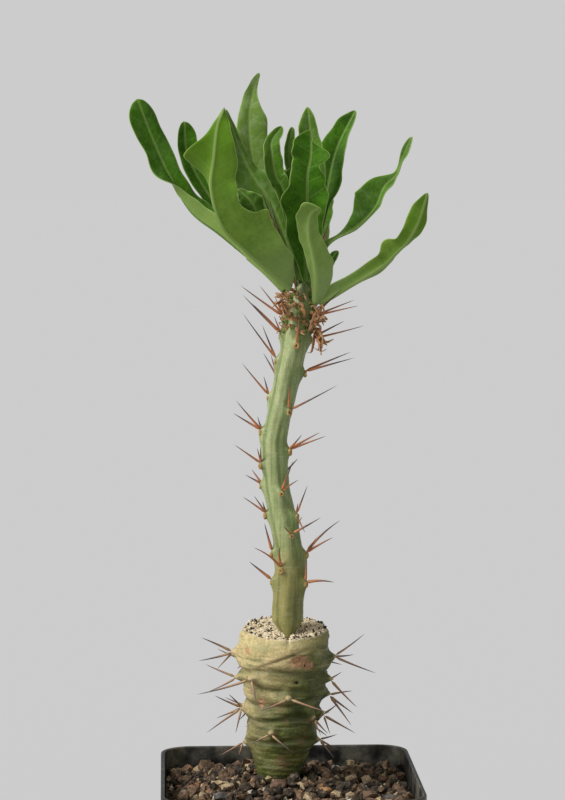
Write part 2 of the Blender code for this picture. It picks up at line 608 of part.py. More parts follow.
def build_mix():
    bm = bmesh.new()
    inset = WALL + GAP
    low = BAND_Z + GAP
    outer = inside_loop(POT_HEIGHT, inset)
    loops = [
        inside_loop(FLOOR + GAP, inset + 1.0),
        inside_loop(FLOOR + GAP + 1.0, inset),
        inside_loop(low, inset, BAND_Z - BAND_STEP),
        [(x, y, low + 0.8) for x, y, _ in outer],
    ]
    bearings = [math.atan2(y, x) for x, y, _ in outer]
    top_radius, cx, cy = levels_at(STOCK_LEVELS, MIX_AT_STOCK)
    lip = top_radius + GAP + 0.4
    for f in (0.0, 0.12, 0.28, 0.46, 0.64, 0.82, 1.0):
        loop = []
        for (x, y, _), bearing in zip(outer, bearings):
            px = (1 - f) * x + f * (cx + lip * math.cos(bearing))
            py = (1 - f) * y + f * (cy + lip * math.sin(bearing))
            loop.append((px, py, mix_height(px, py)))
        loops.append(loop)
    for depth in (4.0, 9.0, 14.0, 18.0):
        z = MIX_AT_STOCK - depth
        radius, cx, cy = levels_at(STOCK_LEVELS, z)
        wide = radius + GAP + 0.3
        loops.append([(cx + wide * math.cos(b), cy + wide * math.sin(b), z) for b in bearings])
    loft(bm, loops)
    return add_object("potting_mix", bm, "potting_mix")


# ---------------------------------------------------------------- grown bodies
def heading(bearing, rise):
    """A unit vector from a bearing and a rise, both in degrees."""
    b, r = math.radians(bearing), math.radians(rise)
    return Vector((math.cos(r) * math.cos(b), math.cos(r) * math.sin(b), math.sin(r)))


def turn(a, b):
    """The smaller angle between two bearings, in radians."""
    return math.radians((a - b + 180) % 360 - 180)


def grow_thorn(bm, face, start, way, length):
    """Draw a face of the skin out into a thorn that runs from start along way."""
    corners = list(face.verts)
    middle = face.calc_center_median()
    spokes = []
    for vert in corners:
        spoke = vert.co - middle
        spoke -= way * spoke.dot(way)
        spokes.append(spoke.normalized())
    rings = [corners]
    for along, radius in ((0.07, 1.0), (0.5, 0.62)):
        centre = start + way * length * along
        rings.append([bm.verts.new(centre + s * THORN_RADIUS * radius) for s in spokes])
    centre = start + way * length
    rings.append([bm.verts.new(centre + s * THORN_TIP) for s in spokes])
    bm.faces.remove(face)
    for lower, upper in zip(rings, rings[1:]):
        for i in range(len(lower)):
            j = (i + 1) % len(lower)
            bm.faces.new((lower[i], lower[j], upper[j], upper[i]))
    bm.faces.new(rings[-1])


def grow_thorns(bm, clusters, levels):
    """Put every cluster's thorns on the skin, one skin face to each thorn."""
    for height, bearing, thorns in clusters:
        radius, cx, cy = levels_at(levels, height)
        for length, off, rise in thorns:
            way = heading(bearing + off, rise)
            side = heading(bearing + off * 0.5, 0)
            start = Vector((cx, cy, height)) + side * (radius + 0.3)
            start.z += 0.05 * rise
            skin = [f for f in bm.faces if f.tag and f.normal.dot(way) > 0.1]
            face = min(skin, key=lambda f: (f.calc_center_median() - start).length)
            face.tag = False
            centre = face.calc_center_median()
            grow_thorn(bm, face, centre, way, length)


def skin_radius(levels, clusters, z, bearing):
    """Radius of the skin with the swellings under the thorn clusters."""
    radius = levels_at(levels, z)[0]
    for height, where, _ in clusters:
        across = turn(bearing, where) * radius
        gone = (across**2 + (z - height) ** 2) / KNOB_SPREAD**2
        if gone < 4:
            radius += KNOB_HIGH * math.exp(-2 * gone)
    return radius


def grow_body(levels, clusters, heights, sides, groove, crease):
    """Loft a stem through its levels, with knobs, soft ribs and creases, then its thorns."""
    loops = []
    for z in heights:
        _, cx, cy = levels_at(levels, z)
        loop = []
        for k in range(sides):
            bearing = 360 * k / sides
            radius = skin_radius(levels, clusters, z, bearing) - crease(z) - groove(z, bearing)
            angle = math.radians(bearing)
            loop.append((cx + radius * math.cos(angle), cy + radius * math.sin(angle), z))
        loops.append(loop)
    bm = bmesh.new()
    loft(bm, loops)
    bm.normal_update()
    for face in bm.faces:
        face.tag = len(face.verts) == 4
    grow_thorns(bm, clusters, levels)
    return bm


def build_stock():
    top = STOCK_LEVELS[-1][0]
    bottom = STOCK_LEVELS[0][0]
    heights = [bottom, 60.0, 65.0, 70.0, 74.0, 77.0]
    heights += [79.0 + 1.9 * k for k in range(20)]
    heights += [117.0, 118.0, top]

    def crease(z):
        return sum(CREASE_DEEP * math.exp(-(((z - ring) / CREASE_WIDE) ** 2)) for ring in STOCK_RINGS)

    def groove(z, bearing):
        return STOCK_GROOVE * math.sin(math.radians(3 * bearing + 4 * z))

    bm = grow_body(STOCK_LEVELS, STOCK_THORNS, heights, STOCK_SIDES, groove, crease)
    stock = add_object("rootstock", bm, "stock_skin")
    _, stem_x, stem_y = levels_at(STEM_LEVELS, STEM_LEVELS[0][0])
    high = top + NOTCH_CLEAR
    half = (high - NOTCH_FLOOR) * NOTCH_SLOPE
    near = stem_y - NOTCH_FRONT
    far = stem_y + WEDGE_DEEP + GAP + 0.1
    outline = ((stem_x, NOTCH_FLOOR), (stem_x + half, high), (stem_x - half, high))
    notch = bmesh.new()
    loft(notch, [[(x, y, z) for x, z in outline] for y in (near, far)])
    cut(stock, add_object("notch_cutter", notch, "stock_skin"))
    return stock


def build_stem():
    first, top = STEM_LEVELS[0][0], STEM_LEVELS[-1][0]
    count = round((top - first) / STEM_STEP)
    heights = [first + (top - first) * k / count for k in range(count + 1)]

    def groove(z, bearing):
        return STEM_GROOVE * math.cos(math.radians(5 * bearing + 1.5 * z))

    bm = grow_body(STEM_LEVELS, STEM_THORNS, heights, STEM_SIDES, groove, lambda z: 0.0)
    cap = min((f for f in bm.faces if len(f.verts) > 4), key=lambda f: f.calc_center_median().z)
    ring = list(cap.verts)
    bm.faces.remove(cap)
    _, cx, cy = levels_at(STEM_LEVELS, first)
    radius = STEM_LEVELS[0][1]
    halfway = (WEDGE_TOP + WEDGE_FOOT) / 2
    for z, narrow in ((halfway, (1 + WEDGE_THIN) / 2), (WEDGE_FOOT, WEDGE_THIN)):
        lower = []
        for vert in ring:
            dx, dy = vert.co.x - cx, vert.co.y - cy
            size = math.hypot(dx, dy)
            x = cx + dx / size * radius * narrow
            y = cy + dy / size * WEDGE_DEEP
            lower.append(bm.verts.new((x, y, z)))
        for i in range(len(ring)):
            j = (i + 1) % len(ring)
            bm.faces.new((ring[i], ring[j], lower[j], lower[i]))
        ring = lower
    bm.faces.new(ring)
    return add_object("scion_stem", bm, "stem_skin")


# ---------------------------------------------------------------- leaves and scraps
def blade_mesh(leaf, steps, across, thick, rib_thick):
    """A leaf as a closed solid: an upper sheet, a lower sheet with the midrib, and the edge."""
    bm = bmesh.new()
    upper, lower = [], []
    for i in range(steps + 1):
        t = i / steps
        upper.append([])
        lower.append([])
        for j in range(across + 1):
            s = 2 * j / across - 1
            spot, normal = blade_point(leaf, t, s)
            keel = (rib_thick - thick) * max(1 - 3 * abs(s), 0) * (1 - 0.85 * t)
            upper[-1].append(bm.verts.new(spot + normal * thick / 2))
            lower[-1].append(bm.verts.new(spot - normal * (thick / 2 + keel)))
    for i in range(steps):
        for j in range(across):
            bm.faces.new((upper[i][j], upper[i][j + 1], upper[i + 1][j + 1], upper[i + 1][j]))
            bm.faces.new((lower[i][j], lower[i + 1][j], lower[i + 1][j + 1], lower[i][j + 1]))
        for j in (0, across):
            bm.faces.new((upper[i][j], upper[i + 1][j], lower[i + 1][j], lower[i][j]))
    for i in (0, steps):
        for j in range(across):
            bm.faces.new((upper[i][j], upper[i][j + 1], lower[i][j + 1], lower[i][j]))
    return bm


def build_leaves():
    for name, leaf in LEAVES.items():
        add_object(name, blade_mesh(leaf, BLADE_STEPS, BLADE_ACROSS, BLADE_THICK, RIB_THICK), "leaf")


def off_stem(height, bearing, out):
    radius, cx, cy = levels_at(STEM_LEVELS, height)
    reach = radius + KNOB_HIGH + out
    angle = math.radians(bearing)
    return (cx + reach * math.cos(angle), cy + reach * math.sin(angle), height)


def build_scraps():
    for number, row in enumerate(SCRAPS, 1):
        out = heading(row[0][1], 0)
        scrap = dict(
            rib=[off_stem(*point) for point in row],
            a=SCRAP_HALF,
            b=SCRAP_HALF,
            face=((-out.x, -out.y, 0.4), (-out.x, -out.y, 0.8)),
            fold=(35, 20),
            wave=(0.3, 1.5, 0.2 * number),
        )
        add_object(f"dry_flower_scrap_{number}", blade_mesh(scrap, 5, 4, 0.5, 0.6), "dry_scrap")


# ---------------------------------------------------------------- stones
def build_stones():
    rng = random.Random(7)
    for number, (x, y, length, width, height, tone) in enumerate(STONES, 1):
        bm = bmesh.new()
        bmesh.ops.create_icosphere(bm, subdivisions=2, radius=0.5)
        for vert in bm.verts:
            vert.co *= rng.uniform(0.86, 1.06)
        spin = rng.uniform(0, math.pi)
        for vert in bm.verts:
            long, wide = vert.co.x * length, vert.co.y * width
            vert.co.x = long * math.cos(spin) - wide * math.sin(spin)
            vert.co.y = long * math.sin(spin) + wide * math.cos(spin)
            vert.co.z = max(vert.co.z, STONE_FLAT) * height
        reach = max(length, width) / 2
        steps = (-1, -0.5, 0, 0.5, 1)
        ground = max(mix_height(x + reach * a, y + reach * b) for a in steps for b in steps)
        lowest = min(v.co.z for v in bm.verts)
        bmesh.ops.translate(bm, verts=bm.verts, vec=(x, y, ground + GAP - lowest))
        add_object(f"stone_{number:02d}", bm, f"stone_{tone}", smooth=False)


def main():
    for obj in list(bpy.data.objects):
        bpy.data.objects.remove(obj, do_unlink=True)
    build_pot()
    build_mix()
    build_stock()
    build_stem()
    build_leaves()
    build_scraps()
    build_stones()


main()
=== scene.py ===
# %% [markdown]
# # A grafted pachypodium in a small square pot
#
# This lesson dresses a measured model of a potted succulent. A slender thorny stem with long wavy
# leaves has been grafted on a short fat stock, which stands in gritty mix in a thin black pot.
# The measured model is plain and correct in size. Each piece below is modelled again at its true
# place with the fine surface of the real thing, and the plain piece is then hidden.

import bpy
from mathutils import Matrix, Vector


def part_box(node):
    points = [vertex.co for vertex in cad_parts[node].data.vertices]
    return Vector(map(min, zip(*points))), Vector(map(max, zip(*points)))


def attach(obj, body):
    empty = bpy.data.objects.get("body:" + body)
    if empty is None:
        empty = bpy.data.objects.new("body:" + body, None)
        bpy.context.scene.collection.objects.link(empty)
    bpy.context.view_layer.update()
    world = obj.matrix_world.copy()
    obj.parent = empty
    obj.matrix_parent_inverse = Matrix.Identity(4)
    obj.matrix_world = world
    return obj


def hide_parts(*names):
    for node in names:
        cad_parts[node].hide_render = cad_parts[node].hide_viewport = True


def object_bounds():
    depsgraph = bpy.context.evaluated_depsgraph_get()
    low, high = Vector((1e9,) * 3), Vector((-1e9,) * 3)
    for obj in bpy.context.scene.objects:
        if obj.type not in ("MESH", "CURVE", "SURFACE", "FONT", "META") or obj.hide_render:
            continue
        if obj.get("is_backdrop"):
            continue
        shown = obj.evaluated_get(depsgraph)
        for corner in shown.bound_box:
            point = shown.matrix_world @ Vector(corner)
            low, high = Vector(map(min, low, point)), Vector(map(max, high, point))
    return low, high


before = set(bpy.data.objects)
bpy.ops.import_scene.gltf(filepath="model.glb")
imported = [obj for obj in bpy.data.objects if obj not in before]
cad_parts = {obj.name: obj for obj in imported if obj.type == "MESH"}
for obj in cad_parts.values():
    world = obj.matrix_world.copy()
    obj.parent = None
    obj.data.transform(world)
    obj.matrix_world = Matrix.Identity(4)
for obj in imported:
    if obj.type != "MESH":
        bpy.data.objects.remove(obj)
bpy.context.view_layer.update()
print("pieces in the measured model:", len(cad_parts))

# %% [markdown]
# The other modules are Blender's own and numpy. Every length in the tables is in millimetres,
# because that is how a small plant is measured, and MM turns it into Blender's metres.

# %% Modules and units
import math

import bmesh
import bpy
import numpy as np

MM = 0.001

# %% [markdown]
# ## The camera
#
# A plant portrait is taken from a little way off with a long lens, so that the pot's sides stay
# almost parallel. The camera stands at the height of the crown and looks slightly down, which
# shows the mix behind the pot's front rim.

# %% Camera
CAMERA_PLACE = (-0.035947, -0.74862, 0.245787)
CAMERA_DOWN = 0.0806
CAMERA_TURN = -0.0454
LENS = 117.0

bpy.ops.object.camera_add(
    location=CAMERA_PLACE,
    rotation=(math.pi / 2 - CAMERA_DOWN, 0, CAMERA_TURN),
)
camera = bpy.context.object
camera.data.lens = LENS
bpy.context.scene.camera = camera
print("lens:", camera.data.lens, "mm")

# %% [markdown]
# ## Small helpers
#
# An operator acts on everything that is selected, so everything is deselected before a primitive
# is added. Most living shapes here start as a ball or a flat slab from Blender's Add menu. Its
# vertices are then moved by a rule, which is what a sculptor does with a lump of clay. These
# helpers read and write all the vertices at once.

# %% Selecting, reading and writing
def nothing_selected():
    if bpy.context.object and bpy.context.object.mode != "OBJECT":
        bpy.ops.object.mode_set(mode="OBJECT")
    bpy.ops.object.select_all(action="DESELECT")


def points_of(obj):
    """The vertices of an object as rows of x, y, z."""
    points = np.empty(len(obj.data.vertices) * 3, np.float32)
    obj.data.vertices.foreach_get("co", points)
    return points.reshape(-1, 3).astype(float)


def place_points(obj, points_mm):
    """Move every vertex to its place, given in millimetres."""
    obj.data.vertices.foreach_set("co", (np.asarray(points_mm) * MM).astype(np.float32).ravel())
    obj.data.update()


def note(obj, name, values):
    """Write one number for each vertex, for a material to read."""
    attribute = obj.data.attributes.new(name, "FLOAT", "POINT")
    attribute.data.foreach_set("value", np.asarray(values, np.float32))


def ball(name, around, rings):
    """A ball of radius 1 with a pole at the top and one at the bottom."""
    nothing_selected()
    bpy.ops.mesh.primitive_uv_sphere_add(segments=around, ring_count=rings, radius=1)
    bpy.context.object.name = name
    bpy.ops.object.shade_smooth()
    return bpy.context.object


def lump(name, detail):
    """A ball of triangles of radius 1."""
    nothing_selected()
    bpy.ops.mesh.primitive_ico_sphere_add(subdivisions=detail, radius=1)
    bpy.context.object.name = name
    return bpy.context.object


def belongs(obj, material, slot, *nodes):
    """Give a finished piece its material, hang it under the root, and hide the measured pieces that it
    stands for.
    """
    obj.data.materials.clear()
    obj.data.materials.append(material)
    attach(obj, "root")
    if nodes:
        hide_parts(*nodes)


# %% [markdown]
# Nature has no straight lines and no two copies alike. One helper runs a smooth curve through a
# few points, for a leaf's midrib or a dry petal. Another adds a soft, cloud-like unevenness that
# is the same each time the script runs.

# %% Smooth curves and soft unevenness
def through(points, t):
    """Places at t, numbers from 0 to 1, on a smooth curve through evenly numbered points."""
    points = np.asarray(points, float)
    points = points.reshape(len(points), -1)
    last = len(points) - 1
    t = np.atleast_1d(np.asarray(t, float))
    i = np.minimum((t * last).astype(int), last - 1)
    u = (t * last - i)[:, None]
    first, final = 2 * points[0] - points[1], 2 * points[-1] - points[-2]
    row = np.vstack([first, points, final])
    p0, p1, p2, p3 = row[i], row[i + 1], row[i + 2], row[i + 3]
    return (
        p1
        + 0.5 * u * (p2 - p0)
        + u**2 * (p0 - 2.5 * p1 + 2 * p2 - 0.5 * p3)
        + 0.5 * u**3 * (3 * p1 - p0 - 3 * p2 + p3)
    )


def unit(v):
    v = np.asarray(v, float)
    return v / np.linalg.norm(v, axis=-1, keepdims=True)


def uneven(points, size, seed):
    """A soft value from about -1 to 1 that changes over that size."""
    rng = np.random.default_rng(seed)
    total = np.zeros(len(points))
    for _ in range(7):
        way = unit(rng.normal(size=3)) * rng.uniform(0.6, 1.5) * 2 * math.pi / size
        total += np.sin(points @ way + rng.uniform(0, 7))
    return total / 3.2


def eased(value, low, high):
    """0 below low, 1 above high, and a smooth step between."""
    f = np.clip((np.asarray(value, float) - low) / (high - low), 0, 1)
    return f * f * (3 - 2 * f)


def heading(bearing, rise):
    """A unit vector from a bearing and a rise in degrees; bearing 270 faces the viewer."""
    b, r = np.radians(bearing), np.radians(rise)
    return np.array([np.cos(r) * np.cos(b), np.cos(r) * np.sin(b), np.sin(r)])


# %% [markdown]
# ## Material helpers
#
# A procedural material is a small network of nodes. Writing one by hand takes many lines, so
# these helpers add a node with its settings, and name the few sums that every material uses:
# a smooth threshold, a mix of two colours, a noise and a row of colours.

# %% Node helpers
def put(tree, kind, **values):
    """Add a node. Names in small letters are its settings, the others are its inputs."""
    node = tree.nodes.new("ShaderNode" + kind)
    for name, value in values.items():
        if name[0].islower():
            setattr(node, name, value)
    for name, value in values.items():
        if name[0].isupper():
            feed(tree, value, node.inputs[name.replace("_", " ")])
    return node


def feed(tree, value, socket):
    """Link a socket to an input, or set the input to a plain value."""
    if isinstance(value, bpy.types.NodeSocket):
        tree.links.new(value, socket)
    elif isinstance(value, tuple) and len(value) == 3 and socket.type == "RGBA":
        socket.default_value = (*value, 1)
    else:
        socket.default_value = value


def sum_of(tree, operation, *terms):
    """A Math node's answer."""
    node = tree.nodes.new("ShaderNodeMath")
    node.operation = operation
    for term, socket in zip(terms, node.inputs):
        feed(tree, term, socket)
    return node.outputs[0]


def step(tree, value, low, high):
    """0 below low and 1 above high, smooth between. It falls instead if high is under low."""
    a, b, start, end = (low, high, 0.0, 1.0) if low < high else (high, low, 1.0, 0.0)
    node = put(tree, "MapRange", interpolation_type="SMOOTHSTEP", From_Min=a, From_Max=b)
    node.inputs["To Min"].default_value = start
    node.inputs["To Max"].default_value = end
    feed(tree, value, node.inputs["Value"])
    return node.outputs["Result"]


def blend(tree, share, a, b, how="MIX"):
    """Colour a, changed towards colour b by that share."""
    return put(tree, "MixRGB", blend_type=how, Fac=share, Color1=a, Color2=b).outputs[0]


def mark(tree, name):
    """The value that note() wrote on the vertices."""
    return put(tree, "Attribute", attribute_name=name).outputs["Fac"]


def spots(tree, size_mm, detail=2.0, stretch=(1, 1, 1), rough=0.5):
    """Noise of that size on the object's own coordinates."""
    where = put(tree, "TexCoord").outputs["Object"]
    drawn = put(tree, "Mapping", Vector=where, Scale=stretch)
    noise = put(tree, "TexNoise", Vector=drawn.outputs[0], Scale=1 / (size_mm * MM))
    noise.inputs["Detail"].default_value = detail
    noise.inputs["Roughness"].default_value = rough
    return noise.outputs["Fac"]


def new_material(name, roughness, specular=0.5, sheen=0.0):
    """A material with its Principled shader ready."""
    material = bpy.data.materials.new(name)
    material.use_nodes = True
    shader = material.node_tree.nodes["Principled BSDF"]
    shader.inputs["Roughness"].default_value = roughness
    shader.inputs["Specular IOR Level"].default_value = specular
    shader.inputs["Sheen Weight"].default_value = sheen
    return material, material.node_tree, shader


# %% [markdown]
# Two effects are wanted by several materials, so each is built once as a node group. Mottle is
# the cloudy change between two colours that skin, leaves, soil and stone all show. Relief is a
# fine height, from a broad and a small noise together, that feeds a bump.

# %% Shared node groups
def new_group(name, inputs, output, kind):
    group = bpy.data.node_groups.new(name, "ShaderNodeTree")
    for title, socket_type, value in inputs:
        made = group.interface.new_socket(title, in_out="INPUT", socket_type=socket_type)
        made.default_value = value
    group.interface.new_socket(output, in_out="OUTPUT", socket_type=kind)
    start = group.nodes.new("NodeGroupInput")
    end = group.nodes.new("NodeGroupOutput")
    return group, start.outputs, end.inputs[0]


def scaled_noise(tree, frequency, detail):
    where = put(tree, "TexCoord").outputs["Object"]
    return put(tree, "TexNoise", Vector=where, Scale=frequency, Detail=detail).outputs["Fac"]


mottle_group, given, result = new_group(
    "mottle",
    (
        ("Dark", "NodeSocketColor", (0, 0, 0, 1)),
        ("Light", "NodeSocketColor", (1, 1, 1, 1)),
        ("Frequency", "NodeSocketFloat", 200.0),
    ),
    "Color",
    "NodeSocketColor",
)
broad = scaled_noise(mottle_group, given["Frequency"], 3.0)
fine_frequency = sum_of(mottle_group, "MULTIPLY", given["Frequency"], 6.3)
fine = scaled_noise(mottle_group, fine_frequency, 2.0)
both = sum_of(mottle_group, "MULTIPLY_ADD", fine, 0.4, sum_of(mottle_group, "MULTIPLY", broad, 0.6))
share = step(mottle_group, both, 0.36, 0.64)
feed(mottle_group, blend(mottle_group, share, given["Dark"], given["Light"]), result)

relief_group, given, result = new_group(
    "relief", (("Frequency", "NodeSocketFloat", 500.0),), "Height", "NodeSocketFloat"
)
broad = scaled_noise(relief_group, given["Frequency"], 2.0)
fine_frequency = sum_of(relief_group, "MULTIPLY", given["Frequency"], 4.7)
fine = scaled_noise(relief_group, fine_frequency, 2.0)
feed(relief_group, sum_of(relief_group, "MULTIPLY_ADD", fine, 0.35, broad), result)


def mottle(tree, dark, light, size_mm):
    node = tree.nodes.new("ShaderNodeGroup")
    node.node_tree = mottle_group
    feed(tree, dark, node.inputs["Dark"])
    feed(tree, light, node.inputs["Light"])
    node.inputs["Frequency"].default_value = 1 / (size_mm * MM)
    return node.outputs["Color"]


def relief(tree, size_mm):
    node = tree.nodes.new("ShaderNodeGroup")
    node.node_tree = relief_group
    node.inputs["Frequency"].default_value = 1 / (size_mm * MM)
    return node.outputs["Height"]


def bump(tree, shader, height, depth_mm, strength=1.0):
    """Let a height from 0 to 1 stand out of the surface by that depth."""
    node = put(tree, "Bump", Height=height, Distance=depth_mm * MM, Strength=strength)
    tree.links.new(node.outputs["Normal"], shader.inputs["Normal"])


# %% [markdown]
# ## The leaves
#
# Each leaf is a long soft blade with a stout pale midrib, fine side veins and a thin pale margin.
# It leaves the stem as a folded trough, opens, waves along both margins and often twists, so that
# some leaves show their dark velvety upper face and others their paler underside. A sheet of
# cloth would hang too limply, so each blade is a rule instead: a curve for the midrib, half
# widths at even stations on both sides (a and b), the way that the upper face looks, how far the
# halves fold up, and a wave. Where the two halves fold differently, fold_a and fold_b say so.

